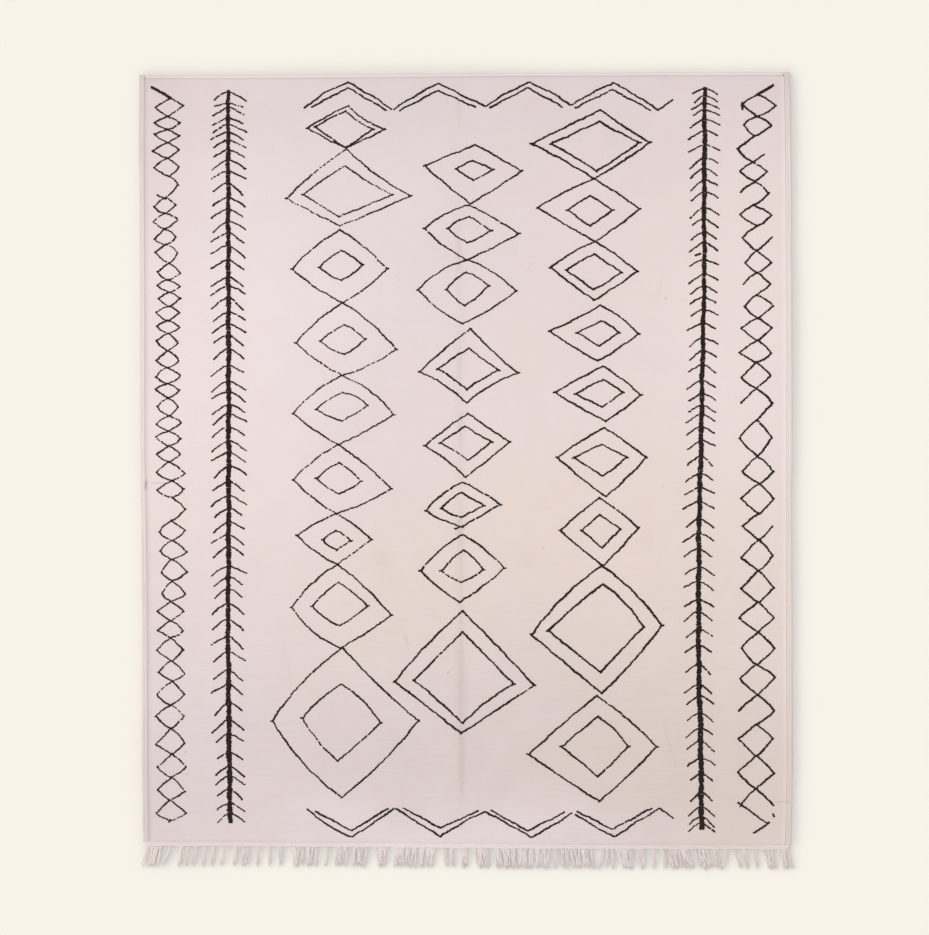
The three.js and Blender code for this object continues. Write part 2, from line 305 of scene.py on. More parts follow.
# A fishbone is a thick spine with a pair of drooping barbs at each count. Stations give where the
# spine stands and how wide it is. Each row of barbs gives the counts between pairs, the reach and
# the droop to the left and to the right, and the share of knots worn away.
Spine = namedtuple("Spine", "y x width")
Barbs = namedtuple("Barbs", "counts left_reach left_drop right_reach right_drop worn")
Fishbone = namedtuple("Fishbone", "top stations barbs")
FISHBONES = {
    "left": Fishbone(
        top=145.5,
        stations=[
            Spine(y=146, x=-91, width=1.6),
            Spine(y=128, x=-91, width=1.9),
            Spine(y=106, x=-91, width=1.9),
            Spine(y=36, x=-90.8, width=2.1),
            Spine(y=-32, x=-90.8, width=2.1),
            Spine(y=-55, x=-91.1, width=1.9),
            Spine(y=-100, x=-90.7, width=2.2),
            Spine(y=-135.3, x=-90.2, width=2.2),
        ],
        barbs=[
            Barbs((4.5,), 5.2, 3.7, 6.4, 3.8, 0.08),
            Barbs((1.5,), 5.6, 1.0, 6.0, 1.3, 0.2),
            Barbs((4, 2.5), 5.6, 2.9, 6.0, 2.5, 0.2),
            Barbs((3, 3, 3.5, 4, 4.5, 4.5), 6.0, 3.2, 6.1, 3.3, 0.1),
            Barbs((5.5, 4.5, 4.5, 4.5, 5, 5.5, 6.5, 3.5, 4.5, 5.5), 6.1, 3.8, 6.1, 3.9, 0.06),
            Barbs((4.5, 4.5, 5, 6.5, 6, 4, 5, 3.5, 5, 5.5), 6.0, 3.6, 6.2, 3.5, 0.05),
            Barbs((4.5, 5, 6, 5.5, 5, 5, 5, 4.5, 7.5, 4), 5.9, 4.0, 6.2, 3.5, 0.05),
            Barbs((4.5, 6, 6, 6.5, 6, 7, 5.5, 7, 6.5, 5.5), 5.8, 4.2, 5.8, 4.1, 0.06),
            Barbs((7, 5.5, 3.5, 5, 5.5, 4), 4.7, 3.3, 5.3, 3.9, 0.1),
        ],
    ),
    "right": Fishbone(
        top=146.7,
        stations=[
            Spine(y=147, x=92, width=1.8),
            Spine(y=120, x=91.9, width=2.1),
            Spine(y=100, x=91.7, width=1.9),
            Spine(y=76, x=91.9, width=1.8),
            Spine(y=35, x=91, width=2.0),
            Spine(y=10, x=90.6, width=2.1),
            Spine(y=-20, x=89.8, width=2.1),
            Spine(y=-60, x=89.6, width=2.2),
            Spine(y=-82, x=89.8, width=2.2),
            Spine(y=-100, x=90.4, width=2.3),
            Spine(y=-138, x=90.8, width=2.2),
        ],
        barbs=[
            Barbs((2.5, 3, 2.5, 3.5), 4.4, 2.5, 5.0, 2.0, 0.03),
            Barbs((4.5, 5.5, 5, 4, 4.5, 4.5), 5.5, 3.6, 5.3, 2.3, 0.03),
            Barbs((6, 4.5, 5, 4, 6.5, 5.5, 4.5, 4.5, 4.5, 5.5), 5.5, 3.4, 5.0, 2.8, 0.03),
            Barbs((5.5, 5, 5.5, 6, 5, 4.5, 3.5, 4.5, 5.5, 6), 5.3, 3.1, 5.0, 2.7, 0.03),
            Barbs((6.5, 5.5, 5.5, 6.5, 5.5, 6, 7, 5.5, 7, 4.5), 5.4, 3.3, 5.1, 3.1, 0.03),
            Barbs((7, 6, 7.5, 7.5, 4.5, 6.5, 6, 5, 6.5, 6), 5.1, 3.3, 4.9, 3.3, 0.03),
            Barbs((7, 5.5, 4, 2.5), 4.4, 3.2, 4.6, 3.2, 0.04),
        ],
    ),
}

# The zigzags are double lines. Each row is one peak of the outer line: its start, the shoulder on
# the way, the peak, the shoulder after it and the end; and the inner line's start, peak and end.
Peak = namedtuple("Peak", "start rise peak fall end inner_start inner_peak inner_end")
ZIGZAGS = {
    "head": [
        Peak((-61.5, 139.35), (-54, 145.05), (-45, 149.05), (-33.5, 142.55), (-28.5, 138.75),
             (-59, 139.55), (-45, 146.95), (-30.5, 138.55)),
        Peak((-27.5, 138.75), (-19, 144.05), (-10.3, 148.75), (1, 142.95), (7.5, 139.95),
             (-25, 138.25), (-10.5, 145.95), (4, 139.55)),
        Peak((8, 139.95), (15, 144.55), (24.7, 149.05), (34, 144.75), (40.5, 140.35),
             (9.5, 139.35), (24, 146.95), (37.3, 139.75)),
        Peak((41, 140.35), (47, 144.15), (57, 149.05), (67, 143.15), (74.2, 138.45),
             (42.3, 139.35), (56.5, 146.25), (71.3, 138.45)),
    ],
    "foot": [
        Peak((-60.5, -130.2), (-52.5, -136.4), (-43.7, -140.8), (-33.5, -134.2), (-27.5, -129.8),
             (-57.5, -130.8), (-43.5, -138.3), (-29.5, -129.6)),
        Peak((-26.5, -129.8), (-18, -135.3), (-9.5, -140.4), (1, -134), (7.5, -131),
             (-23.8, -129.5), (-9.5, -137.2), (5, -130.7)),
        Peak((8, -131), (16, -135.4), (25.5, -140.8), (34, -136), (41, -131.6),
             (10, -130.5), (24, -138.3), (38, -131.3)),
        Peak((42.5, -132), (49, -136.2), (57.3, -140.7), (66, -134.8), (74.8, -129.7),
             (43, -130.8), (56.5, -137.7), (71.5, -129.7)),
    ],
}

# Loose strokes: where each one starts and ends, and how many lines of knots wide it is.
Stroke = namedtuple("Stroke", "motif start end lines")
STROKES = [
    Stroke("chain_left", (-120.3, 147.3), (-113, 143), 2),
    Stroke("chain_left", (-118.4, 105.8), (-115.1, 104.4), 1),
    Stroke("chain_left", (-113.2, -134), (-113.6, -134.8), 1),
    Stroke("chain_right", (118.3, 148), (112.3, 144.3), 2),
    Stroke("chain_right", (106.5, 141.2), (106.4, 139), 2),
    Stroke("chain_right", (110.8, 118.5), (115, 121.3), 1),
    Stroke("chain_right", (105, -127.6), (116, -135.5), 1),
    Stroke("chain_right", (116.8, -135.2), (111, -139), 1),
    Stroke("chain_right", (118.2, -132), (118.5, -132.8), 1),
    Stroke("lozenges_middle", (-2, -21.8), (-3.9, -22.4), 1),
    Stroke("zigzag_head", (74.2, 138.7), (79.6, 142.2), 1),
    Stroke("zigzag_foot", (74.8, -129.7), (79.8, -133.4), 1),
    Stroke("fishbone_right", (90.4, 83.3), (88.6, 82.9), 1),
]

# ---- the unevenness of hand work ----------------------------------------------------------------

# Waves along a piece: their size, how fast they come in radians to the metre, and their phase.
Wave = namedtuple("Wave", "size rate phase", defaults=[0])
FOLD_WANDER = (Wave(1.5 * MM, 9), Wave(1.0 * MM, 23, 1))
FOLD_UNEVENNESS = (Wave(0.2, 31, 2),)
BUNDLE_WANDER = (Wave(0.5 * MM, 7.3), Wave(0.35 * MM, 19))
BUNDLE_SWELLING = (Wave(0.05, 11), Wave(0.04, 37))
WRAP_UNEVENNESS = (Wave(0.12, 60),)
TWINE_UNEVENNESS = (Wave(0.5, 14),)
TWINE_SWELLING = (Wave(0.06, 31),)
BAND_SLACK = (Wave(0.6 * MM, 37), Wave(0.42 * MM, 83, 1))
SPINE_SWAY = (Wave(1.2 * MM, 31), Wave(0.8 * MM, 83, 1))
SPINE_SWELLING = (Wave(0.16, 90), Wave(0.14, 210))
LINE_DRIFT_X = (Wave(1.1 * MM, 70), Wave(0.55 * MM, 170))
LINE_DRIFT_Y = (Wave(1.1 * MM, 60), Wave(0.55 * MM, 150))
LINE_SWELLING = (Wave(0.12, 27),)
RUBBING = (Wave(1, 16),)
DASH_UNEVENNESS = (Wave(0.6, 37),)


def wavering(place, waves, *shifts):
    """The sum of a few waves at a place along a piece, each with its own shift if any are given."""
    shifts = shifts or (0,) * len(waves)
    return sum(
        wave.size * np.sin(wave.rate * place + wave.phase + shift)
        for wave, shift in zip(waves, shifts))


def uneven(serial):
    """A fixed, uneven number from 0 to 1 for one of many like pieces."""
    spread = math.sin(serial * 127.1 + 311.7) * 43758.5453
    return spread - math.floor(spread)


# ---- how the cloth lies and has aged ------------------------------------------------------------

# Soft troughs that folding has pressed into the cloth. Centimetres, with the depth in millimetres.
Fold = namedtuple("Fold", "start end width depth")
FOLDS = [
    Fold((-1.8, 149), (-1.2, -141), 1.8, 0.5),
    Fold((72, -24), (30, -66), 2.4, 0.35),
]
# A fold fades in and out over this share of its length.
FOLD_FADE = 1 / 12

# Low swells where the cloth does not quite touch the floor: waves across and up the rug, in
# radians to the metre, their starting phase and their share.
Swell = namedtuple("Swell", "across up phase share")
SWELLS = [
    Swell(across=2.1, up=1.3, phase=0.4, share=0.30),
    Swell(across=-1.7, up=2.9, phase=2.2, share=0.28),
    Swell(across=4.3, up=0.7, phase=1.1, share=0.22),
    Swell(across=0.9, up=-5.1, phase=3.0, share=0.20),
]
# The cloth lies flat where the waves sum to less than the first, and is highest at the second
# above that.
FLAT_BELOW = 0.12
SWELL_SPAN = 0.7

# Where the rug is lighter or darker, and cooler or warmer, than the rest. The warmth is the wool's
# own yellowing; the lightness is partly the wool's own tone and partly painted shade and light,
# darker towards the head, the foot and the corners and lighter in the middle. Centimetres,
# with a turn in degrees.
Area = namedtuple("Area", "x y across up turn light warmth")
AREAS = [
    Area(-95, 40, 90, 130, 0, 0.085, 0),
    Area(-118, 30, 25, 80, 0, 0.020, 0),
    Area(105, 45, 70, 100, 0, 0.050, 0),
    Area(20, 20, 65, 65, 0, 0.018, 0),
    Area(0, 100, 40, 45, 0, -0.020, 0),
    Area(-70, -75, 75, 40, 0, 0.022, 0),
    Area(40, 165, 260, 75, 0, -0.070, 0),
    Area(-122, 152, 26, 45, 0, -0.035, 0),
    Area(120, 152, 34, 45, 0, -0.025, 0),
    Area(-122, 156, 15, 16, 0, -0.040, 0),
    Area(122, 156, 15, 16, 0, -0.035, 0),
    Area(20, -120, 260, 110, 0, -0.110, 0),
    Area(-120, -132, 34, 30, 0, -0.035, 0),
    Area(110, -120, 90, 90, 0, -0.030, 0),
    Area(-10, -137, 100, 22, 0, 0.077, 0),
    Area(-50, 85, 115, 120, 0, 0, -0.38),
    Area(40, 165, 260, 75, 0, 0, -0.20),
    Area(90, 85, 50, 70, 0, 0, 0.15),
    Area(28, 42, 16, 16, 0, 0, 0.30),
    Area(62, -30, 140, 80, 0, 0, 0.42),
    Area(-30, -45, 60, 50, 20, 0, 0.25),
    Area(90, -115, 130, 90, 0, 0, 0.45),
    Area(-112, -100, 60, 80, 0, 0, -0.25),
    Area(-10, -138, 105, 24, 0, 0, -0.50),
    Area(56, -146, 46, 22, 0, 0.020, -0.45),
]

# Small soiled spots, scuffs and creases, and the darkening along the middle fold: how much grime
# and shade each paints, and how many millimetres it dents the cloth. The spots are stains; on the
# creases and along the fold the darkening is partly grime and partly painted shade. Centimetres
# and degrees.
Mark = namedtuple("Mark", "x y across up turn soil dent")
MARKS = [
    Mark(-1.6, 0, 4.4, 190, 0, 0.06, 0),
    Mark(-1.4, -60, 1.6, 110, 0, 0.07, 0.10),
    Mark(-1.2, -88, 4.6, 40, 2, 0.08, 0),
    Mark(-1.2, -114, 2.6, 22, 0, 0.12, 0.10),
    Mark(-2.4, 140, 2.0, 12, 0, 0.10, 0.10),
    Mark(-2.2, -22, 2.6, 7, 0, 0.16, 0),
    Mark(-1.8, 16, 2.2, 10, 0, 0.12, 0.10),
    Mark(-2.2, 40, 1.8, 16, 0, 0.08, 0.10),
    Mark(-2.4, 83, 2.2, 12, 0, 0.10, 0.10),
    Mark(-122.6, -5.2, 1.2, 3.2, 0, 0.50, 0.20),
    Mark(-118, -4.6, 5.0, 0.8, 1, 0.22, 0.20),
    Mark(122, -127.3, 5.0, 0.8, 2, 0.24, 0.20),
    Mark(-124.5, -136, 3.5, 12, 0, 0.09, 0),
    Mark(-6.5, -77.5, 0.9, 0.8, 0, 0.35, 0),
    Mark(-107.5, -108, 0.9, 0.7, 0, 0.40, 0),
    Mark(-107, -116.5, 0.9, 0.7, 0, 0.35, 0),
    Mark(30, -30, 0.9, 0.8, 0, 0.30, 0),
    Mark(76, -6, 0.8, 0.8, 0, 0.30, 0),
    Mark(77, 66, 0.8, 0.8, 0, 0.28, 0),
    Mark(-22.5, -65, 0.8, 5.0, 20, 0.16, 0.20),
    Mark(78.5, -105, 0.9, 15, 15, 0.09, 0.20),
    Mark(-68, -75, 1.4, 30, 12, 0.03, 0.15),
    Mark(75, 71, 0.9, 11, -18, 0.05, 0.15),
    Mark(25, 78, 0.7, 3.5, -40, 0.12, 0.15),
    Mark(-25.5, 73.5, 0.8, 4.0, 32, 0.08, 0.15),
    Mark(-30, 60, 0.9, 12, 60, 0.03, 0.12),
    Mark(20, -70, 0.8, 14, -70, 0.04, 0.12),
    Mark(-32, -35, 7, 6, 0, 0.05, 0),
    Mark(24, -35, 6, 5, 0, 0.05, 0),
    Mark(70, -27, 5, 6, 0, 0.05, 0),
]

# ---- sizes and colours that a user would change -------------------------------------------------


class KilimSizes(bpy.types.PropertyGroup):
    """How the rug is made: the sizes of its cloth, cords, fringe and knots."""

    cloth_thickness: FloatProperty(
        name="Cloth Thickness", description="Thickness of the woven ground",
        default=FIELD_HIGH[2] - FIELD_LOW[2], min=0.001, max=0.01, unit="LENGTH")
    swell_height: FloatProperty(
        name="Swell Height", description="How far the highest swells of the cloth stand off the floor",
        default=2.6 * MM, min=0, max=0.01, unit="LENGTH")
    selvedge_width: FloatProperty(
        name="Selvedge Width", description="Width of the two wrapped bundles along each side",
        default=22 * MM, min=0.005, max=0.06, unit="LENGTH")
    selvedge_thickness: FloatProperty(
        name="Selvedge Thickness", description="Thickness of the wrapped bundles",
        default=SELVEDGE_HIGH[2] - SELVEDGE_LOW[2], min=0.002, max=0.02, unit="LENGTH")
    wrap_pitch: FloatProperty(
        name="Wrap Pitch", description="Distance from one turn of the wrapping yarn to the next",
        default=5.2 * MM, min=0.001, max=0.02, unit="LENGTH")
    cord_width: FloatProperty(
        name="Cord Width", description="Width of the twined cord across the head",
        default=14 * MM, min=0.003, max=0.03, unit="LENGTH")
    cord_thickness: FloatProperty(
        name="Cord Thickness", description="Thickness of the twined cord across the head",
        default=CORD_HIGH[2] - CORD_LOW[2], min=0.002, max=0.02, unit="LENGTH")
    band_width: FloatProperty(
        name="Band Width", description="Width of the twined band above the fringe",
        default=17 * MM, min=0.003, max=0.03, unit="LENGTH")
    strand_width: FloatProperty(
        name="Strand Width", description="Width of one strand of yarns in the fringe",
        default=11.5 * MM, min=0.002, max=0.02, unit="LENGTH")
    strand_reach: FloatProperty(
        name="Strand Reach", description="How far the longest strand reaches below the band",
        default=77 * MM, min=0.01, max=0.2, unit="LENGTH")
    knot_length: FloatProperty(
        name="Knot Length", description="Size of one knot across the rug",
        default=10.0 * MM, min=0.002, max=0.02, unit="LENGTH")
    knot_width: FloatProperty(
        name="Knot Width", description="Size of one knot up the rug",
        default=8.05 * MM, min=0.002, max=0.02, unit="LENGTH")
    knot_height: FloatProperty(
        name="Knot Height", description="How far a knot stands above the cloth",
        default=2.3 * MM, min=0.0005, max=0.01, unit="LENGTH")
    knot_step: FloatProperty(
        name="Knot Step", description="Distance along a line from one knot to the next",
        default=5.1 * MM, min=0.002, max=0.02, unit="LENGTH")
    rib_spacing: FloatProperty(
        name="Rib Spacing", description="Distance between the warps that the weft covers",
        default=5.0 * MM, min=0.001, max=0.02, unit="LENGTH")
    pick_spacing: FloatProperty(
        name="Pick Spacing", description="Distance between picks of the weft",
        default=1.8 * MM, min=0.0005, max=0.01, unit="LENGTH")
    seed: IntProperty(
        name="Seed", description="Start of the hand's unevenness", default=17, min=0)


class KilimColours(bpy.types.PropertyGroup):
    """The colours of the wools and of the floor."""

    cool_ivory: FloatVectorProperty(
        name="Cool Ivory", description="Undyed wool where it is palest",
        default=(0.741, 0.647, 0.670), size=3, min=0, max=1, subtype="COLOR")
    warm_ivory: FloatVectorProperty(
        name="Warm Ivory", description="Undyed wool where it has yellowed",
        default=(0.741, 0.628, 0.576), size=3, min=0, max=1, subtype="COLOR")
    selvedge: FloatVectorProperty(
        name="Selvedge Wool", description="Tint of the wrapping yarn, over the ivory",
        default=(1.0, 1.0, 1.0), size=3, min=0, max=2, subtype="COLOR")
    # The cord and fringe tints lift these yarns above the ivory: partly their own paleness and partly
    # painted light that offsets the shade between their yarns.
    cord: FloatVectorProperty(
        name="Cord Wool", description="Tint of the twined cord and band, over the ivory",
        default=(1.12, 1.13, 1.13), size=3, min=0, max=2, subtype="COLOR")
    fringe: FloatVectorProperty(
        name="Fringe Wool", description="Tint of the fringe, over the ivory",
        default=(1.165, 1.21, 1.205), size=3, min=0, max=2, subtype="COLOR")
    dark: FloatVectorProperty(
        name="Dark Wool", description="Undyed dark wool of the motifs",
        default=(0.017, 0.0095, 0.0090), size=3, min=0, max=1, subtype="COLOR")
    faded: FloatVectorProperty(
        name="Faded Dark Wool", description="Dark wool where it has faded brown",
        default=(0.041, 0.025, 0.023), size=3, min=0, max=1, subtype="COLOR")
    # The grime colour also paints shade: in the creases, in the hollows of the weave, between the
    # plies and along the seams.
    soil: FloatVectorProperty(
        name="Soil", description="Grime in the folds and spots",
        default=(0.32, 0.23, 0.19), size=3, min=0, max=1, subtype="COLOR")
    floor: FloatVectorProperty(
        name="Floor", description="The pale floor",
        default=(0.8735, 0.833, 0.7615), size=3, min=0, max=1, subtype="COLOR")


def sizes():
    """The sizes set on the scene."""
    return bpy.context.scene.kilim_sizes


def colours():
    """The colours set on the scene."""
    return bpy.context.scene.kilim_colours


# ---- the lie of the cloth -----------------------------------------------------------------------


def along(rows, place, at, column):
    """One column of a table of stations, read anywhere between its rows, in metres."""
    places = [getattr(row, place) * CM for row in rows]
    values = [getattr(row, column) * CM for row in rows]
    return np.interp(at, places, values)


def chart_place(points):
    """Where places in the chart's centimetres stand on the rug."""
    return (np.array(points, float) + (CHART_X, CHART_Y)) * CM


def side_x(side, y):
    """How far across one side of the rug stands at a height y."""
    return along(SIDES, "y", y, side)


def head_y(x):
    """Where the head of the rug ends at x."""
    return along(ENDS, "x", x, "head")


def foot_y(x):
    """Where the weave stops at the foot at x."""
    return along(ENDS, "x", x, "foot")


def swell(x, y):
    """How far the underside of the cloth stands off the floor at a place."""
    wave = sum(row.share * np.sin(row.across * x + row.up * y + row.phase) for row in SWELLS)
    return sizes().swell_height * np.clip(wave - FLAT_BELOW, 0, None) / SWELL_SPAN


def fold_depth(x, y):
    """How deep the fold marks are pressed into the top of the cloth at a place."""
    depth = np.zeros_like(np.asarray(x, float))
    for fold in FOLDS:
        start = chart_place(fold.start)
        run = (np.array(fold.end) - fold.start) * CM
        length = math.hypot(*run)
        across, up = run / length
        away_x, away_y = x - start[0], y - start[1]
        down_line = away_x * across + away_y * up
        off_line = away_x * up - away_y * across
        share = np.clip(down_line / length, 0, 1)
        fade = np.clip(share / FOLD_FADE, 0, 1) * np.clip((1 - share) / FOLD_FADE, 0, 1)
        off_trough = off_line - wavering(down_line, FOLD_WANDER)
        trough = np.exp(-((off_trough / (fold.width * CM)) ** 2))
        pressed = 0.8 + wavering(down_line, FOLD_UNEVENNESS)
        depth = depth + fold.depth * MM * trough * fade * pressed
    return depth


def cloth_top(x, y):
    """The height of the top of the cloth at a place."""
    return swell(x, y) + sizes().cloth_thickness - fold_depth(x, y)


# ---- making pieces ------------------------------------------------------------------------------

THREAD_MAP = "Thread"
PLY_CREST = (0.25, 0.0)
SEAM_REACH = 1e-4
WELD = 1e-7


def new_piece(name, mesh, material, nodes=()):
    """Puts a mesh into the scene as a piece that rides on the rug and stands for CAD nodes."""
    piece = bpy.data.objects.new(name, mesh)
    bpy.context.scene.collection.objects.link(piece)
    mesh.materials.append(material)
    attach(piece, "root")
    if nodes:
        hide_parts(*nodes)
    return piece


def thread_bmesh():
    """An empty bmesh for swept tubes, with the map that runs round and along each thread."""
    bm = bmesh.new()
    bm.loops.layers.uv.new(THREAD_MAP)
    return bm


def finish_mesh(bm, name):
    """Turns a bmesh into a smooth-shaded mesh with its faces outwards."""
    bmesh.ops.recalc_face_normals(bm, faces=bm.faces)
    for face in bm.faces:
        face.smooth = True
    mesh = bpy.data.meshes.new(name)
    bm.to_mesh(mesh)
    bm.free()
    return mesh


def sweep(
        bm, centres, across, up, half_width, half_height, sides, relief=None, roundness=1.0,
        spun=True):
    """Rolls a flat grid into a tube along centres, and returns the vertices along its seam.

    It is round or, with less roundness, squarer. Its Thread map runs round it and along it, or
    stays on the crest of a ply if it isn't spun.
    """
    rings = len(centres)
    made = bmesh.ops.create_grid(bm, x_segments=sides, y_segments=rings - 1, size=0.5)["verts"]
    flat = np.array([(vert.co.x + 0.5, vert.co.y + 0.5) for vert in made])
    ring = np.rint(flat[:, 1] * (rings - 1)).astype(int)
    angle = TURN * flat[:, 0]
    steps = np.linalg.norm(np.diff(centres, axis=0), axis=1)
    distance = np.concatenate(([0.0], np.cumsum(steps)))[ring]
    swollen = 1 + relief(distance, angle) if relief else np.ones(len(made))
    round_off = np.abs(np.stack([np.cos(angle), np.sin(angle)])) ** roundness
    wide = (half_width[ring] * np.sign(np.cos(angle)) * round_off[0] * swollen)[:, None]
    high = (half_height[ring] * np.sign(np.sin(angle)) * round_off[1] * swollen)[:, None]
    points = centres[ring] + across[ring] * wide + up[ring] * high
    for vert, point in zip(made, points):
        vert.co = point
    thread = bm.loops.layers.uv[THREAD_MAP]
    bm.verts.index_update()
    first = made[0].index
    faces = {face for vert in made for face in vert.link_faces}
    for face in faces:
        for loop in face.loops:
            serial = loop.vert.index - first
            loop[thread].uv = (flat[serial, 0], distance[serial]) if spun else PLY_CREST
    on_seam = np.abs(flat[:, 0] - 0.5) > 0.5 - SEAM_REACH
    return [vert for vert, seam in zip(made, on_seam) if seam]


def close_tubes(bm, seams):
    """Welds the seams of swept tubes and closes their ends."""
    bmesh.ops.remove_doubles(bm, verts=seams, dist=WELD)
    ends = [edge for edge in bm.edges if edge.is_boundary]
    bmesh.ops.holes_fill(bm, edges=ends, sides=0)


def level_frames(centres):
    """For each point of a line that lies nearly flat: the level way across it, and the way up."""
    ahead = np.gradient(centres, axis=0)
    ahead /= np.linalg.norm(ahead, axis=1)[:, None]
    across = np.cross(ahead, (0.0, 0.0, 1.0))
    across /= np.linalg.norm(across, axis=1)[:, None]
    return across, np.cross(across, ahead)


# ---- the ground cloth ---------------------------------------------------------------------------

GROUND_COLUMNS = 132
GROUND_ROWS = 158
OUTLINE_ROUNDS = 2
BORDER_WIDTH = 5 * MM
BORDER_RISE = 2.3 * MM
RIM_ANGLE = math.radians(50)
SEAM_GAPS = {"left": 0.02 * MM, "right": 0.80 * MM, "head": 0.02 * MM, "foot": 0.06 * MM}
FOLD_LOOPS = [-4.2, -2.6, -1.5, -0.4, 1.2]


def field_place(share_across, share_up):
    """A place in the woven field, from its shares across and up, between its bowed edges."""
    inset = sizes().selvedge_width
    head_drop = sizes().cord_width + SEAM_GAPS["head"]
    y = foot_y(0) + (head_y(0) - foot_y(0)) * share_up
    for _ in range(OUTLINE_ROUNDS):
        left = side_x("left", y) + inset + SEAM_GAPS["left"]
        right = side_x("right", y) - inset - SEAM_GAPS["right"]
        x = left + (right - left) * share_across
        foot = foot_y(x)
        y = foot + (head_y(x) - head_drop - foot) * share_up
    return x, y


def ground_mesh():
    """The woven field: a grid drawn out to the rug's outline, pressed with its folds and closed."""
    bm = bmesh.new()
    bmesh.ops.create_grid(bm, x_segments=GROUND_COLUMNS, y_segments=GROUND_ROWS, size=0.5)
    shares = np.array([(vert.co.x + 0.5, vert.co.y + 0.5) for vert in bm.verts])
    x, y = field_place(shares[:, 0], shares[:, 1])
    for vert, place in zip(bm.verts, zip(x, y)):
        vert.co = (*place, 0)
    for loop_x in FOLD_LOOPS:
        bmesh.ops.bisect_plane(
            bm, geom=bm.verts[:] + bm.edges[:] + bm.faces[:],
            plane_co=(loop_x * CM, 0, 0), plane_no=(1, 0, 0))
    bmesh.ops.inset_region(
        bm, faces=bm.faces[:], thickness=BORDER_WIDTH, use_boundary=True, use_even_offset=True)
    seam = bm.verts.layers.float.new("seam")
    for vert in bm.verts:
        vert[seam] = 1.0 if vert.is_boundary else 0.0
    places = np.array([vert.co[:] for vert in bm.verts])
    tops = cloth_top(places[:, 0], places[:, 1])
    for vert, top in zip(bm.verts, tops):
        vert.co.z = top + BORDER_RISE * vert[seam]
    made = bmesh.ops.extrude_face_region(bm, geom=bm.faces[:])["geom"]
    under = [item for item in made if isinstance(item, bmesh.types.BMVert)]
    places = np.array([vert.co[:] for vert in under])
    for vert, height in zip(under, swell(places[:, 0], places[:, 1])):
        vert.co.z = height
    for edge in bm.edges:
        edge.smooth = edge.calc_face_angle(0) < RIM_ANGLE
    return finish_mesh(bm, "ground_cloth")


class KILIM_OT_ground_cloth(bpy.types.Operator):
    """Weave the ground cloth, with its fold marks and low swells"""

    bl_idname = "kilim.ground_cloth"
    bl_label = "Ground Cloth"

    def execute(self, context):
        new_piece("ground_cloth", ground_mesh(), ground_material(), ["woven_field"])
        return {"FINISHED"}


# ---- selvedges ----------------------------------------------------------------------------------

# A bundle thins towards both ends, over a short stretch, to a share of its size.
BUNDLE_RING_STEP = 2.1 * MM
BUNDLE_SIDES = 12
BUNDLE_END = 4 * MM
BUNDLE_END_SIZE = 0.55
WRAP_RELIEF = 0.03

# The bundles from the edge inwards: the middle and the width of each as shares of half the
# selvedge's width, its share of the thickness, the phase of its waves and how far it follows
# them, and how round it is.
Bundle = namedtuple("Bundle", "middle width thickness phase looseness roundness")
BUNDLES = [
    Bundle(middle=0.55, width=1.1, thickness=0.93, phase=0.0, looseness=1, roundness=0.45),
    Bundle(middle=1.45, width=1.1, thickness=0.90, phase=1.7, looseness=0, roundness=0.38),
]


def bundle(bm, side, row):
    """One wrapped bundle of warp along a side of the rug."""
    inwards = 1 if side == "left" else -1
    unit = sizes().selvedge_width / 2
    corner = side_x(side, 0)
    low = foot_y(corner) + SEAM_GAPS["foot"]
    high = head_y(corner)
    rings = int((high - low) / BUNDLE_RING_STEP)
    y = np.linspace(low, high, rings)
    wander = wavering(y, BUNDLE_WANDER, row.phase, 2 * row.phase)
    x = side_x(side, y) + inwards * row.middle * unit + wander * row.looseness
    plump = 1 + wavering(y, BUNDLE_SWELLING, row.phase, 3 * row.phase) * row.looseness
    ends = np.clip(np.minimum(y - low, high - y) / BUNDLE_END, 0, 1)
    plump *= BUNDLE_END_SIZE + (1 - BUNDLE_END_SIZE) * np.sqrt(ends)
    half_width = row.width * unit / 2 * plump
    half_height = row.thickness * sizes().selvedge_thickness / 2 * plump
    height = swell(x, y) + half_height * (1 + WRAP_RELIEF)
    centres = np.stack([x, y, height], axis=1)
    across, up = level_frames(centres)
    pitch = sizes().wrap_pitch

    def wrapping(distance, angle):
        turns = distance / pitch + wavering(distance, WRAP_UNEVENNESS) + angle / TURN
        return WRAP_RELIEF * np.sin(TURN * turns)

    return sweep(
        bm, centres, across, up, half_width, half_height, BUNDLE_SIDES, wrapping, row.roundness)


def selvedge_mesh(side):
    """Two wrapped bundles of warp, side by side along one edge."""
    bm = thread_bmesh()
    close_tubes(bm, [vert for row in BUNDLES for vert in bundle(bm, side, row)])
    return finish_mesh(bm, f"selvedge_{side}")


class KILIM_OT_selvedges(bpy.types.Operator):
    """Wrap the two bundles of warp along each side"""

    bl_idname = "kilim.selvedges"
    bl_label = "Selvedges"

    def execute(self, context):
        material = selvedge_material()
        for side in ("left", "right"):
            new_piece(
                f"selvedge_cord_{side}", selvedge_mesh(side), material,
                [f"selvedge_{side}"])
        return {"FINISHED"}


# ---- the twined cord and the end band -----------------------------------------------------------

# A cord thins towards both ends too. Its core has one ring to every few of its yarns.
CORD_RING_STEP = 2.4 * MM
CORD_END = 9 * MM
CORD_END_SIZE = 0.6
CORD_ROUNDNESS = 0.6
CORD_SIDES = 8
CORE_SKIP = 4

# How the cord at the head and the rows of the band at the foot are twined and end.
CORD_INSET = 2.2 * MM
HEAD_PITCH = 19 * MM
HEAD_PHASE = 0.3
BAND_PITCH = 13 * MM
BAND_PHASE = 1.9
BAND_INSET = 4 * MM
BAND_OVERLAP = 1.24

# The core and the yarns of a twined cord, and how far its yarns go from side to side and up and
# down, all as shares of its width and thickness.
CordPart = namedtuple("CordPart", "width thickness")
CORE = CordPart(width=0.49, thickness=0.36)
YARN = CordPart(width=0.30, thickness=0.40)
YARN_SWING = CordPart(width=0.21, thickness=0.07)


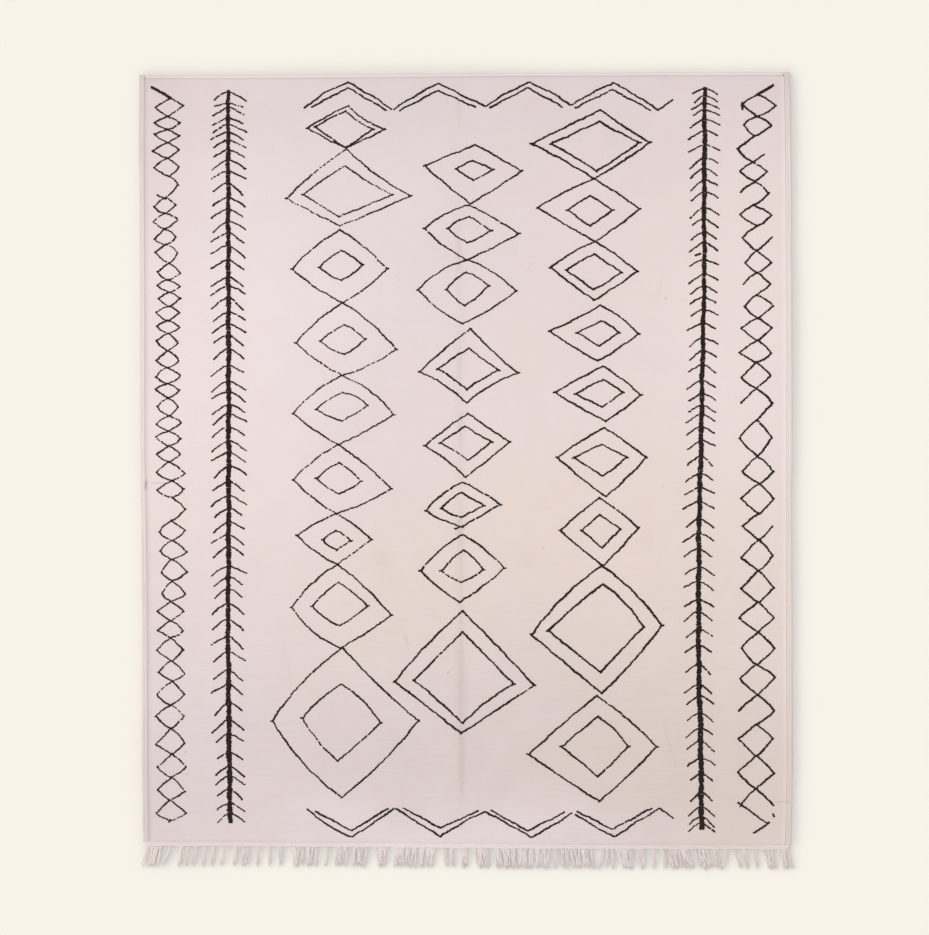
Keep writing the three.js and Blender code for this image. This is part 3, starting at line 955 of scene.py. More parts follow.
def twined_cord(bm, centre_line, width, thickness, pitch, phase):
    """Two yarns twined about a core along a line, flattened to a width and a thickness."""
    across, up = level_frames(centre_line)
    steps = np.linalg.norm(np.diff(centre_line, axis=0), axis=1)
    distance = np.concatenate(([0.0], np.cumsum(steps)))
    ends = np.clip(np.minimum(distance, distance[-1] - distance) / CORD_END, 0, 1)
    tuck = CORD_END_SIZE + (1 - CORD_END_SIZE) * np.sqrt(ends)
    core = slice(None, None, CORE_SKIP)
    seams = sweep(
        bm, centre_line[core], across[core], up[core],
        width * CORE.width * tuck[core], thickness * CORE.thickness * tuck[core],
        CORD_SIDES, None, CORD_ROUNDNESS)
    for yarn in range(2):
        turned = TURN * distance / pitch + math.pi * yarn + phase
        turned += wavering(distance, TWINE_UNEVENNESS)
        side_shift = width * YARN_SWING.width * np.cos(turned) * tuck
        up_shift = thickness * YARN_SWING.thickness * np.sin(turned)
        centres = centre_line + across * side_shift[:, None] + up * up_shift[:, None]
        yarn_across, yarn_up = level_frames(centres)
        plump = (1 + wavering(distance, TWINE_SWELLING, yarn)) * tuck
        seams += sweep(
            bm, centres, yarn_across, yarn_up, width * YARN.width * plump,
            thickness * YARN.thickness * plump, CORD_SIDES, None, CORD_ROUNDNESS)
    return seams


def level_line(left, right, y_at, height_at):
    """Points from left to right at even steps, with their heights."""
    count = int((right - left) / CORD_RING_STEP)
    x = np.linspace(left, right, count)
    y = y_at(x)
    return np.stack([x, y, height_at(x, y)], axis=1)


def heading_mesh():
    """The twined cord across the head, between the selvedges."""
    width, thickness = sizes().cord_width, sizes().cord_thickness
    inset = sizes().selvedge_width + CORD_INSET
    left = side_x("left", CORD_HIGH[1]) + inset
    right = side_x("right", CORD_HIGH[1]) - inset
    line = level_line(
        left, right, lambda x: head_y(x) - width / 2, lambda x, y: swell(x, y) + thickness / 2)
    bm = thread_bmesh()
    close_tubes(bm, twined_cord(bm, line, width, thickness, HEAD_PITCH, HEAD_PHASE))
    return finish_mesh(bm, "heading_cord")


def band_mesh():
    """The end band: two rows of twining across the foot, the lower one a little slack."""
    width = sizes().band_width / 2
    thickness = FRINGE_HIGH[2] - FRINGE_LOW[2]
    left = side_x("left", FRINGE_HIGH[1])
    right = side_x("right", FRINGE_HIGH[1])
    bm = thread_bmesh()
    seams = []
    for row in range(2):

        def row_y(x, row=row):
            slack = wavering(x, BAND_SLACK) * row
            return foot_y(x) - SEAM_GAPS["foot"] - width * (row + 0.5) + slack

        inset = BAND_INSET * (row + 1)
        line = level_line(
            left + inset, right - inset, row_y, lambda x, y: swell(x, y) + thickness / 2)
        seams += twined_cord(
            bm, line, width * BAND_OVERLAP, thickness, BAND_PITCH, BAND_PHASE * row)
    close_tubes(bm, seams)
    return finish_mesh(bm, "end_band")


class KILIM_OT_heading_cord(bpy.types.Operator):
    """Twine the cord across the head"""

    bl_idname = "kilim.heading_cord"
    bl_label = "Heading Cord"

    def execute(self, context):
        new_piece("heading_cord", heading_mesh(), cord_material(), ["starting_cord"])
        return {"FINISHED"}


# ---- the fringe ---------------------------------------------------------------------------------

# Strands: how they leave the band and lie, and the range of what differs from one to the next.
STRAND_RINGS = 15
STRAND_TUCK = 4 * MM
STRAND_LIFT = 1.6 * MM
REACH_VARIATION = 7 * MM
STRAND_WIDTHS = (0.8, 1.25)
STRAND_ARCHES = (0.7 * MM, 2.3 * MM)
ROOT_PLAY = 1.5 * MM
LEAN_PLAY = 6.5 * MM
BEND_PLAY = 2.4 * MM
CURL_PLAY = 1.3 * MM

# Strands that aren't far apart part or draw together in threes, by a share of their distances.
TUFT = 3
APART = 16 * MM
TUFT_DRAW = (-0.6, 0.9)

# Yarns: their sizes and ranges as shares of the strand that they lie in.
YARNS = 5
YARN_SIDES = 6
YARN_SIZE = 0.66
YARN_FLATNESS = 0.9
YARN_PLAY = 0.08
YARN_CROSSINGS = (0.04, 0.16)
YARN_TURNS = (0.5, 1.2)
YARN_LIFTS = (-0.2, 0.9)
YARN_REACHES = (0.90, 1.0)
YARN_SWELLING = 0.10
TIP_START = 0.88
TIP_SIZE = 0.55
FLOOR_GAP = 0.1 * MM

# Wisps: the loose fibres at the tip of a strand.
WISPS = 11
WISP_RINGS = 4
WISP_FLATNESS = 0.6
WISP_SIDES = 3
WISP_LIE = 0.9 * MM
WISP_ROOT = 2 * MM
WISP_LENGTHS = (4 * MM, 15 * MM)
WISP_WIDTHS = (0.4 * MM, 0.9 * MM)
WISP_HOP = 1.2 * MM
WISP_CURL = 0.4
WISP_FAN = 0.6

# How wide the yarns of a strand lie apart, as a share of its width, on the way to its tip.
Flare = namedtuple("Flare", "share width")
FLARES = [
    Flare(share=0, width=1.45),
    Flare(share=0.18, width=0.85),
    Flare(share=0.60, width=0.95),
    Flare(share=1, width=1.30),
]


def fringe_strands():
    """Each strand: its root, lean and reach. Close strands draw together or part in threes."""
    serial = 0
    for run in FRINGE:
        roots = np.linspace(run.start, run.end, run.strands) * CM
        leans = np.linspace(run.first_lean, run.last_lean, run.strands) * CM
        for first in range(0, run.strands, TUFT):
            tuft = roots[first:first + TUFT]
            close = len(tuft) > 1 and tuft[1] - tuft[0] < APART
            drawn = np.interp(uneven(serial + 0.5), (0, 1), TUFT_DRAW) if close else 0
            for root, lean in zip(tuft, leans[first:first + TUFT]):
                lean += (tuft.mean() - root) * drawn
                reach = sizes().strand_reach + REACH_VARIATION * (uneven(serial) - 1)
                yield root, lean, reach
                serial += 1


def strand_line(root, lean, reach, rng):
    """The middle of one strand: out of the band, up in a low arch, and down to lie on the floor."""
    share = np.linspace(0, 1, STRAND_RINGS)
    root += rng.uniform(-1, 1) * ROOT_PLAY
    lean += rng.uniform(-1, 1) * LEAN_PLAY
    bend = rng.uniform(-1, 1) * BEND_PLAY
    curl = rng.uniform(-1, 1) * CURL_PLAY
    x = root + lean * share ** 1.3 + bend * np.sin(math.pi * share) + curl * np.sin(TURN * share)
    band_foot = foot_y(root) - SEAM_GAPS["foot"] - sizes().band_width
    y = band_foot + STRAND_TUCK - (reach + STRAND_TUCK) * share
    arch = rng.uniform(*STRAND_ARCHES)
    z = swell(x, y) + STRAND_LIFT + arch * np.sin(math.pi * share ** 0.8) ** 2
    return np.stack([x, y, z], axis=1)


def strand(bm, line, rng):
    """Yarns laid side by side, crossing a little. Each ends where it will and thins at its tip."""
    across, up = level_frames(line)
    share = np.linspace(0, 1, len(line))
    width = sizes().strand_width * rng.uniform(*STRAND_WIDTHS)
    flare = np.interp(share, [row.share for row in FLARES], [row.width for row in FLARES])
    half = YARN_SIZE * width / YARNS
    seams = []
    tips = []
    for yarn in range(YARNS):
        place = (yarn + 0.5) / YARNS - 0.5 + rng.uniform(-YARN_PLAY, YARN_PLAY)
        turns, phase = rng.uniform(*YARN_TURNS), rng.uniform(0, TURN)
        crossing = rng.uniform(*YARN_CROSSINGS) * np.sin(TURN * share * turns + phase)
        lift = rng.uniform(*YARN_LIFTS) * half * np.sin(math.pi * share)
        centres = line + across * ((place + crossing) * width * flare)[:, None] + up * lift[:, None]
        kept = share * rng.uniform(*YARN_REACHES)
        centres = np.stack([np.interp(kept, share, column) for column in centres.T], axis=1)
        plump = 1 + YARN_SWELLING * np.sin(TURN * share * 3 + phase)
        thinned = np.interp(share, (TIP_START, 1), (1, TIP_SIZE))
        half_width = half * plump * thinned
        half_height = half_width * YARN_FLATNESS
        centres[:, 2] = np.maximum(centres[:, 2], half_height + FLOOR_GAP)
        yarn_across, yarn_up = level_frames(centres)
        seams += sweep(bm, centres, yarn_across, yarn_up, half_width, half_height, YARN_SIDES)
        tips.append(centres[-1])
    return seams, tips


def wisp(bm, start, heading, length, rng):
    """A few loose fibres together, curling out of the tip of a yarn."""
    share = np.linspace(0, 1, WISP_RINGS)
    curl = rng.uniform(-WISP_CURL, WISP_CURL)
    x = start[0] + np.sin(heading + curl * share) * length * share
    y = start[1] - np.cos(heading + curl * share) * length * share
    half = rng.uniform(*WISP_WIDTHS) * (1 - 0.7 * share)
    hop = rng.uniform(0, WISP_HOP) * np.sin(math.pi * share)
    z = start[2] * (1 - share) + WISP_LIE * share + hop
    centres = np.stack([x, y, np.maximum(z, half)], axis=1)
    across, up = level_frames(centres)
    return sweep(bm, centres, across, up, half, half * WISP_FLATNESS, WISP_SIDES, spun=False)


def fringe_mesh():
    """Every strand of the fringe, with its frayed tip."""
    rng = random.Random(sizes().seed + 1)
    bm = thread_bmesh()
    seams = []
    for root, lean, reach in fringe_strands():
        line = strand_line(root, lean, reach, rng)
        strand_seams, tips = strand(bm, line, rng)
        seams += strand_seams
        heading = math.atan2(line[-1][0] - line[-4][0], line[-4][1] - line[-1][1])
        for number in range(WISPS):
            fan = heading + rng.uniform(-WISP_FAN, WISP_FAN)
            start = tips[number % YARNS] + (0, WISP_ROOT, 0)
            seams += wisp(bm, start, fan, rng.uniform(*WISP_LENGTHS), rng)
    close_tubes(bm, seams)
    return finish_mesh(bm, "fringe_strands")


class KILIM_OT_fringe(bpy.types.Operator):
    """Twine the end band and let its warp ends lie free as a fringe"""

    bl_idname = "kilim.fringe"
    bl_label = "Fringe"

    def execute(self, context):
        new_piece("end_band", band_mesh(), cord_material(), ["fringe_comb"])
        new_piece("fringe_strands", fringe_mesh(), fringe_material(), ["fringe_comb"])
        return {"FINISHED"}


# ---- knots --------------------------------------------------------------------------------------

# Single knots: the grid of warps and rows that they sit on, and how they differ.
HALF_PITCH = 2.1 * MM
KNOT_SINK = 0.12 * MM
PLAY_ACROSS = 0.4 * MM
PLAY_UP = 0.3 * MM
KNOT_LENGTHS = (0.77, 1.21)
KNOT_WIDTHS = (0.81, 1.17)
KNOT_TURN = 0.3
KNOT_LOWEST = 0.85
KNOT_HEIGHT_RANGE = 0.3

# Lines of knots. A worn one is rubbed thin in places, and there it has lost a few knots.
LINE_GAP = 4.2 * MM
DASH = 15 * MM
RUBBING_SHARE = 3.2
MOST_RUBBED = 0.7
THINNED_SHARE = 0.25
LOST_SHARE = 0.28

# Motifs: how far corners and barbs stray from the charts, in centimetres or as shares.
SPINE_ROW = 4.4 * MM
SPINE_KNOT_STEP = 4.6 * MM
SPINE_PLAY = 1.1 * MM
FISHBONE_FULL = 0.92
BOW_POINTS = 9
NIB = 0.5
JOIN_PLAY = 0.4
CORNER_PLAY = 0.5
WAIST_PLAY = 0.06
LINK_BOWS = (0.1, 0.5)
BARB_POINTS = 7
BARB_REACHES = (0.88, 1.12)
BARB_DROPS = (0.75, 1.25)
BARB_DROOP = 1.35
ZIGZAG_WEAR = 0.02
INNER_ZIGZAG_WEAR = 0.04

Knot = namedtuple("Knot", "x y length width turn shade")


class Knotter:
    """Ties knots along the lines of one motif, with a hand's unevenness."""

    def __init__(self, motif):
        serial = sum(ord(letter) for letter in motif)
        self.rng = random.Random(sizes().seed * 1000 + serial)
        self.knots = []

    def tie(self, x, y, full=1.0):
        """Ties one knot, on the nearest warp and row of the weave."""
        rng = self.rng
        x = round(x / HALF_PITCH) * HALF_PITCH + rng.uniform(-1, 1) * PLAY_ACROSS
        y = round(y / HALF_PITCH) * HALF_PITCH + rng.uniform(-1, 1) * PLAY_UP
        length = sizes().knot_length * full * rng.uniform(*KNOT_LENGTHS)
        width = sizes().knot_width * full * rng.uniform(*KNOT_WIDTHS)
        turn = rng.uniform(-KNOT_TURN, KNOT_TURN)
        self.knots.append(Knot(x, y, length, width, turn, rng.random()))

    def line(self, points, worn=0.0, full=1.0, lines=1):
        """Ties knots along points given in the chart's centimetres, thinner where they are worn."""
        rng = self.rng
        points = chart_place(points)
        steps = np.hypot(*np.diff(points, axis=0).T)
        distance = np.concatenate(([0.0], np.cumsum(steps)))
        count = max(2, round(distance[-1] / sizes().knot_step) + 1)
        places = np.linspace(0, distance[-1], count)
        x = np.interp(places, distance, points[:, 0])
        y = np.interp(places, distance, points[:, 1])
        phases = [rng.uniform(0, TURN) for _ in range(4)]
        x += wavering(places, LINE_DRIFT_X, *phases[:2])
        y += wavering(places, LINE_DRIFT_Y, *phases[2:])
        dash = places / DASH + rng.random() + wavering(places, DASH_UNEVENNESS, phases[1])
        rubbed = worn * RUBBING_SHARE * rng.random() ** 2 * (1 + wavering(places, RUBBING, phases[2]))
        rubbed = np.minimum(rubbed, MOST_RUBBED)
        size = full * (1 + wavering(places, LINE_SWELLING, phases[3])) * (1 - THINNED_SHARE * rubbed)
        for i in np.flatnonzero(dash % 1 >= rubbed * LOST_SHARE):
            for line in range(lines):
                self.tie(x[i], y[i] + (line - (lines - 1) / 2) * LINE_GAP, size[i])

    def bowed(self, start, end, bow, middle, worn=0.0, full=1.0):
        """Ties a line that swells away from the middle of its motif."""
        start, end, middle = (np.array(point, float) for point in (start, end, middle))
        run = end - start
        normal = np.array((-run[1], run[0])) / math.hypot(*run)
        if np.dot((start + end) / 2 - middle, normal) < 0:
            normal = -normal
        share = np.linspace(0, 1, BOW_POINTS)[:, None]
        points = start + run * share + normal * bow * 4 * share * (1 - share)
        self.line(points, worn, full)

    def piece(self, motif):
        """Joins every knot of the motif into one piece of dark wool."""
        mesh = knots_mesh(motif, self.knots)
        return new_piece(motif, mesh, dark_material())


def knot_template():
    """One low, closed dome of yarn, a unit in radius, flat where it goes into the cloth.

    Each face is split from its first corner, so that every run gives the same triangles.
    """
    bm = bmesh.new()
    bmesh.ops.create_uvsphere(bm, u_segments=7, v_segments=4, radius=1)
    bmesh.ops.bisect_plane(
        bm, geom=bm.verts[:] + bm.edges[:] + bm.faces[:], dist=0.001, plane_co=(0, 0, 0),
        plane_no=(0, 0, -1), clear_outer=True)
    rim = [edge for edge in bm.edges if edge.is_boundary]
    bmesh.ops.holes_fill(bm, edges=rim, sides=0)
    bmesh.ops.recalc_face_normals(bm, faces=bm.faces[:])
    corners = np.array([vert.co[:] for vert in bm.verts])
    triangles = []
    for face in bm.faces:
        ring = [vert.index for vert in face.verts]
        first = ring.index(min(ring))
        ring = ring[first:] + ring[:first]
        triangles += [(ring[0], second, third) for second, third in zip(ring[1:], ring[2:])]
    bm.free()
    return corners, np.array(sorted(triangles))


def knots_mesh(name, knots):
    """An array of the knot, set down, sized and turned at every place, and joined."""
    corners, faces = knot_template()
    rows = np.array(knots)
    x, y, length, width, turn, shade = rows.T
    height = sizes().knot_height
    cos, sin = np.cos(turn)[:, None], np.sin(turn)[:, None]
    flat_x = corners[:, 0] * length[:, None] / 2
    flat_y = corners[:, 1] * width[:, None] / 2
    lift = cloth_top(x, y) - KNOT_SINK
    tall = height * (KNOT_LOWEST + KNOT_HEIGHT_RANGE * shade)
    points = np.stack([
        x[:, None] + flat_x * cos - flat_y * sin,
        y[:, None] + flat_x * sin + flat_y * cos,
        lift[:, None] + corners[:, 2] * tall[:, None],
    ], axis=2)
    offsets = np.arange(len(rows))[:, None, None] * len(corners)
    mesh = bpy.data.meshes.new(name)
    mesh.from_pydata(
        points.reshape(-1, 3).tolist(), [], (faces[None] + offsets).reshape(-1, 3).tolist())
    mesh.shade_smooth()
    shades = mesh.attributes.new("knot_shade", "FLOAT", "POINT")
    shades.data.foreach_set("value", np.repeat(shade, len(corners)))
    mesh.update()
    return mesh


# ---- motifs -------------------------------------------------------------------------------------


def knot_motifs(kind, charts, tie_chart):
    """Ties a piece of knots for each chart of a kind, with the loose strokes that belong to it."""
    for place, chart in charts.items():
        motif = f"{kind}_{place}"
        knotter = Knotter(motif)
        tie_chart(knotter, chart)
        for stroke in STROKES:
            if stroke.motif == motif:
                knotter.line([stroke.start, stroke.end], lines=stroke.lines)
        knotter.piece(motif)


def tie_diamond(knotter, corners, bows, worn, full):
    """Ties four bowed sides round a top, right, foot and left corner, with a nib at each side."""
    top, right, foot, left = corners
    middle = np.mean(corners, axis=0)
    sides = ((top, right), (right, foot), (foot, left), (left, top))
    for (start, end), bow in zip(sides, bows):
        knotter.bowed(start, end, bow, middle, worn, full)
    for corner, outwards in ((right, 1), (left, -1)):
        knotter.line([corner, (corner[0] + NIB * outwards, corner[1])], 0, full)


def tie_lozenges(knotter, rows):
    """Ties a column of lozenges, each with another inside it."""
    for row in rows:
        outer = (row.top, row.right, row.foot, row.left)
        inner = (row.inner_top, row.inner_right, row.inner_foot, row.inner_left)
        inner_bows = row.inner_bows or [bow / 2 for bow in row.bows]
        tie_diamond(knotter, outer, row.bows, row.worn, row.full)
        tie_diamond(knotter, inner, inner_bows, row.worn, row.full)


def link_sides(skipped, lozenge):
    """Which sides of one lozenge of a chain are tied: its side and its upper or lower half."""
    left_out = {row.side: row.keeps for row in skipped if row.lozenge == lozenge}
    for side in ("left", "right"):
        keeps = left_out.get(side, "both")
        for half in ("upper", "lower"):
            if keeps in ("both", half):
                yield side, half


def tie_chain(knotter, chain):
    """Ties each small lozenge of a chain below the last."""
    rng = knotter.rng
    join = chain.top
    links = [(section, height) for section in chain.sections for height in section.heights]
    for serial, (section, height) in enumerate(links):
        below = (section.join + rng.uniform(-JOIN_PLAY, JOIN_PLAY), join[1] - height)
        waist = join[1] - height * (section.waist + rng.uniform(-WAIST_PLAY, WAIST_PLAY))
        corners = {}
        for side in ("left", "right"):
            across = getattr(section, side) + rng.uniform(-CORNER_PLAY, CORNER_PLAY)
            corners[side] = (across, waist + rng.uniform(-CORNER_PLAY, CORNER_PLAY))
        middle = ((join[0] + below[0]) / 2, waist)
        for side, half in link_sides(chain.skipped, serial):
            start = join if half == "upper" else below
            bow = rng.uniform(*LINK_BOWS)
            knotter.bowed(start, corners[side], bow, middle, section.worn, chain.full)
        join = below


def tie_spine(knotter, fishbone):
    """Ties rows of knots side by side down the spine, uneven at both ends."""
    stations = fishbone.stations[::-1]
    high = (stations[-1].y + CHART_Y) * CM
    low = (stations[0].y + CHART_Y) * CM
    for y in np.arange(high, low, -SPINE_ROW):
        x = along(stations, "y", y, "x") + CHART_X * CM + wavering(y, SPINE_SWAY)
        width = along(stations, "y", y, "width") - sizes().knot_length
        width *= 1 + wavering(y, SPINE_SWELLING)
        count = max(2, round(width / SPINE_KNOT_STEP) + 1)
        for share in np.linspace(-0.5, 0.5, count):
            ragged = knotter.rng.uniform(-1, 1) * SPINE_PLAY
            knotter.tie(x + width * share + ragged, y, FISHBONE_FULL)


def tie_barbs(knotter, fishbone):
    """Ties a pair of drooping barbs at each count below the top of the spine."""
    rng = knotter.rng
    stations = fishbone.stations[::-1]
    share = np.linspace(0, 1, BARB_POINTS)
    root = fishbone.top
    counts = [(section, count) for section in fishbone.barbs for count in section.counts]
    counts.append((fishbone.barbs[-1], 0))
    for section, count in counts:
        x = float(along(stations, "y", root * CM, "x")) / CM
        for outwards, reach, drop in (
            (-1, section.left_reach, section.left_drop),
            (1, section.right_reach, section.right_drop),
        ):
            reach *= rng.uniform(*BARB_REACHES)
            drop *= rng.uniform(*BARB_DROPS)
            down = root - drop * share ** BARB_DROOP
            barb = np.stack([x + outwards * reach * share, down], axis=1)
            knotter.line(barb, section.worn, FISHBONE_FULL)
        root -= count


def tie_fishbone(knotter, fishbone):
    """Ties a thick spine and the barbs that droop from it."""
    tie_spine(knotter, fishbone)
    tie_barbs(knotter, fishbone)


def tie_zigzag(knotter, peaks):
    """Ties the outer and the inner line of a zigzag, peak by peak."""
    for row in peaks:
        knotter.line([row.start, row.rise, row.peak, row.fall, row.end], ZIGZAG_WEAR)
        knotter.line([row.inner_start, row.inner_peak, row.inner_end], INNER_ZIGZAG_WEAR)


class KILIM_OT_lozenges(bpy.types.Operator):
    """Knot the three columns of lozenges, each lozenge with another inside it"""

    bl_idname = "kilim.lozenges"
    bl_label = "Lozenges"

    def execute(self, context):
        knot_motifs("lozenges", LOZENGES, tie_lozenges)
        return {"FINISHED"}


class KILIM_OT_fishbones(bpy.types.Operator):
    """Knot the fishbone down each side: a thick spine with drooping barbs"""

    bl_idname = "kilim.fishbones"
    bl_label = "Fishbones"

    def execute(self, context):
        knot_motifs("fishbone", FISHBONES, tie_fishbone)
        return {"FINISHED"}


class KILIM_OT_chains(bpy.types.Operator):
    """Knot the chain of small lozenges down each side"""

    bl_idname = "kilim.chains"
    bl_label = "Chains"

    def execute(self, context):
        knot_motifs("chain", CHAINS, tie_chain)
        return {"FINISHED"}


class KILIM_OT_zigzags(bpy.types.Operator):
    """Knot the double zigzag at each end of the rug"""

    bl_idname = "kilim.zigzags"
    bl_label = "Zigzags"

    def execute(self, context):
        knot_motifs("zigzag", ZIGZAGS, tie_zigzag)
        return {"FINISHED"}


# ---- shader groups ------------------------------------------------------------------------------


class Graph:
    """Short ways to add nodes to one tree and to link them."""

    def __init__(self, tree):
        self.tree = tree

    def feed(self, socket, value):
        """Links a value to a socket, or sets it there if it is a plain one."""
        if isinstance(value, bpy.types.NodeSocket):
            self.tree.links.new(value, socket)
        else:
            socket.default_value = value

    def node(self, kind, inputs, **settings):
        """A node of a kind, with its inputs fed by name or place."""
        made = self.tree.nodes.new(f"ShaderNode{kind}")
        for name, value in settings.items():
            setattr(made, name, value)
        for socket, value in inputs.items():
            self.feed(made.inputs[socket], value)
        return made

    def math(self, operation, *values):
        """The result of a Math node."""
        return self.node("Math", dict(enumerate(values)), operation=operation).outputs[0]

    def total(self, *values):
        """The sum of several values."""
        result = values[0]
        for value in values[1:]:
            result = self.math("ADD", result, value)
        return result

    def vector(self, operation, *values):
        """The result of a Vector Math node."""
        made = self.node("VectorMath", dict(enumerate(values)), operation=operation)
        return made.outputs["Value" if operation == "LENGTH" else "Vector"]

    def ramp(self, value, low, high, to_low=0.0, to_high=1.0, easing="SMOOTHSTEP"):
        """A value taken smoothly from one range to another."""
        inputs = {0: value, 1: low, 2: high, 3: to_low, 4: to_high}
        return self.node("MapRange", inputs, interpolation_type=easing).outputs["Result"]

    def noise(self, vector, scale, detail=2.0, roughness=0.5):
        """The Noise Texture node at a scale."""
        inputs = {"Vector": vector, "Scale": scale, "Detail": detail, "Roughness": roughness}
        return self.node("TexNoise", inputs)

    def wave(self, value, low, high):
        """Noise, which lies mostly between a quarter and three quarters, brought to a range."""
        return self.ramp(value, 0.25, 0.75, low, high, "LINEAR")

    def wander(self, vector, scale, reach):
        """A place moved about by up to half a reach each way, so that straight things waver."""
        drift = self.vector("SUBTRACT", self.noise(vector, scale).outputs["Color"], (0.5,) * 3)
        return self.vector("ADD", vector, self.vector("MULTIPLY", drift, reach))

    def grey(self, value):
        """A grey of a brightness."""
        return self.node("CombineColor", {0: value, 1: value, 2: value}).outputs[0]

    def blend(self, share, first, second, kind="MIX"):
        """Two colours mixed."""
        inputs = {0: share, 6: first, 7: second}
        made = self.node("Mix", inputs, data_type="RGBA", blend_type=kind, clamp_factor=True)
        return made.outputs[2]

    def group(self, tree, inputs):
        """A shader group placed with its own values."""
        made = self.tree.nodes.new("ShaderNodeGroup")
        made.node_tree = tree
        for socket, value in inputs.items():
            self.feed(made.inputs[socket], value)
        return made.outputs


def shader_group(name, inputs, outputs, fill):
    """The shader group of this name, filled the first time that it is asked for."""
    tree = bpy.data.node_groups.get(name)
    if tree:
        return tree
    tree = bpy.data.node_groups.new(name, "ShaderNodeTree")
    for socket, (kind, default) in inputs.items():
        made = tree.interface.new_socket(
            name=socket, in_out="INPUT", socket_type=f"NodeSocket{kind}")
        made.default_value = default
    for socket, kind in outputs.items():
        tree.interface.new_socket(name=socket, in_out="OUTPUT", socket_type=f"NodeSocket{kind}")
    entry = tree.nodes.new("NodeGroupInput").outputs
    results = fill(Graph(tree), entry)
    leaving = tree.nodes.new("NodeGroupOutput").inputs
    for socket, value in results.items():
        tree.links.new(value, leaving[socket])
    return tree


def soft_spot():
    """Group: 1 in the middle of an oval, easing to 0 at its rim."""

    def fill(graph, entry):
        away = graph.vector("SUBTRACT", entry["Vector"], entry["Centre"])
        turned = graph.node(
            "VectorRotate",
            {"Vector": away, "Center": (0, 0, 0), "Angle": graph.math("MULTIPLY", entry["Turn"], -1)},
            rotation_type="Z_AXIS")
        shares = graph.vector("DIVIDE", turned.outputs["Vector"], entry["Reach"])
        distance = graph.vector("LENGTH", shares)
        return {"Mask": graph.ramp(distance, 1.0, 0.0, easing="SMOOTHERSTEP")}

    return shader_group(
        "Soft Spot",
        {"Vector": ("Vector", (0, 0, 0)), "Centre": ("Vector", (0, 0, 0)),
         "Reach": ("Vector", (1, 1, 1)), "Turn": ("Float", 0.0)},
        {"Mask": "Float"}, fill)


def spot_inputs(vector, row):
    """What a Soft Spot needs to stand where a row of a table says."""
    return {
        "Vector": vector,
        "Centre": ((row.x + CHART_X) * CM, (row.y + CHART_Y) * CM, 0),
        "Reach": (row.across * CM, row.up * CM, 1),
        "Turn": math.radians(row.turn),
    }


def aged_wool():
    """Group: the colour of undyed wool, with its pale and yellowed areas, streaks and mottling.

    Its lighter and darker areas are partly the wool's own tone and partly painted shade and light.
    """

    def fill(graph, entry):
        vector = entry["Vector"]
        wandering = graph.wander(vector, 2.2, (0.5,) * 3)
        light, warmth = 1.0, 0.5
        # The light column is partly painted shade: darker towards the head, the foot and the corners.
        for row in AREAS:
            mask = graph.group(soft_spot(), spot_inputs(wandering, row))["Mask"]
            light = graph.math("MULTIPLY_ADD", mask, row.light, light)
            warmth = graph.math("MULTIPLY_ADD", mask, row.warmth, warmth)
        off_middle = graph.math("SUBTRACT", warmth, 0.5)
        warmth = graph.math("MULTIPLY_ADD", off_middle, entry["Yellowing"], 0.5)
        clouds = graph.wave(graph.noise(vector, 5.5, 4.0, 0.6).outputs["Fac"], -0.014, 0.014)
        low_down = graph.ramp(graph.node("SeparateXYZ", {0: wandering}).outputs["Y"], 0.1, -0.7)
        picks = graph.vector("MULTIPLY", vector, (5.5, 95, 1))
        bars = graph.wave(graph.noise(picks, 1.0, 3.0, 0.6).outputs["Fac"], -0.016, 0.016)
        bars = graph.math("MULTIPLY", bars, graph.math("MULTIPLY_ADD", low_down, 0.8, 0.35))
        tufts = graph.noise(vector, 150, 3.0, 0.7).outputs["Fac"]
        mottle = graph.math("MULTIPLY", graph.wave(tufts, -1, 1), entry["Mottle"])
        light = graph.total(light, clouds, bars, mottle)
        yellowing = graph.wave(graph.noise(vector, 8.0, 4.0, 0.6).outputs["Fac"], -0.22, 0.22)
        cool = (*colours().cool_ivory, 1)
        warm = (*colours().warm_ivory, 1)
        ivory = graph.blend(graph.total(warmth, yellowing), cool, warm)
        tinted = graph.blend(1.0, ivory, entry["Tint"], "MULTIPLY")
        blush = graph.wave(graph.noise(vector, 13.0, 3.0, 0.6).outputs["Fac"], 1.007, 0.993)
        green = graph.math("MULTIPLY", light, blush)
        shade = graph.node("CombineColor", {0: light, 1: green, 2: light}).outputs[0]
        return {"Color": graph.blend(1.0, tinted, shade, "MULTIPLY")}

    return shader_group(
        "Aged Wool",
        {"Vector": ("Vector", (0, 0, 0)), "Tint": ("Color", (1, 1, 1, 1)),
         "Mottle": ("Float", 0.02), "Yellowing": ("Float", 1.0)},
        {"Color": "Color"}, fill)


def wear_and_crease_shade():
    """Group: how soiled the cloth is at a place, with painted shade on its creases and along the fold,
    and how deep its spots and creases dent it.
    """

    def fill(graph, entry):
        vector = entry["Vector"]
        wandering = graph.wander(vector, 45, (0.012, 0.012, 0))
        soil, dent = 0.0, 0.0
        for row in MARKS:
            mask = graph.group(soft_spot(), spot_inputs(wandering, row))["Mask"]
            soil = graph.math("MULTIPLY_ADD", mask, row.soil, soil)
            if row.dent:
                dent = graph.math("MULTIPLY_ADD", mask, row.dent * MM, dent)
        grain = graph.wave(graph.noise(vector, 110, 3.0).outputs["Fac"], 0.6, 1.4)
        return {"Soil": graph.math("MULTIPLY", soil, grain), "Dent": dent}

    return shader_group(
        "Wear and Crease Shade", {"Vector": ("Vector", (0, 0, 0))}, {"Soil": "Float", "Dent": "Float"}, fill)


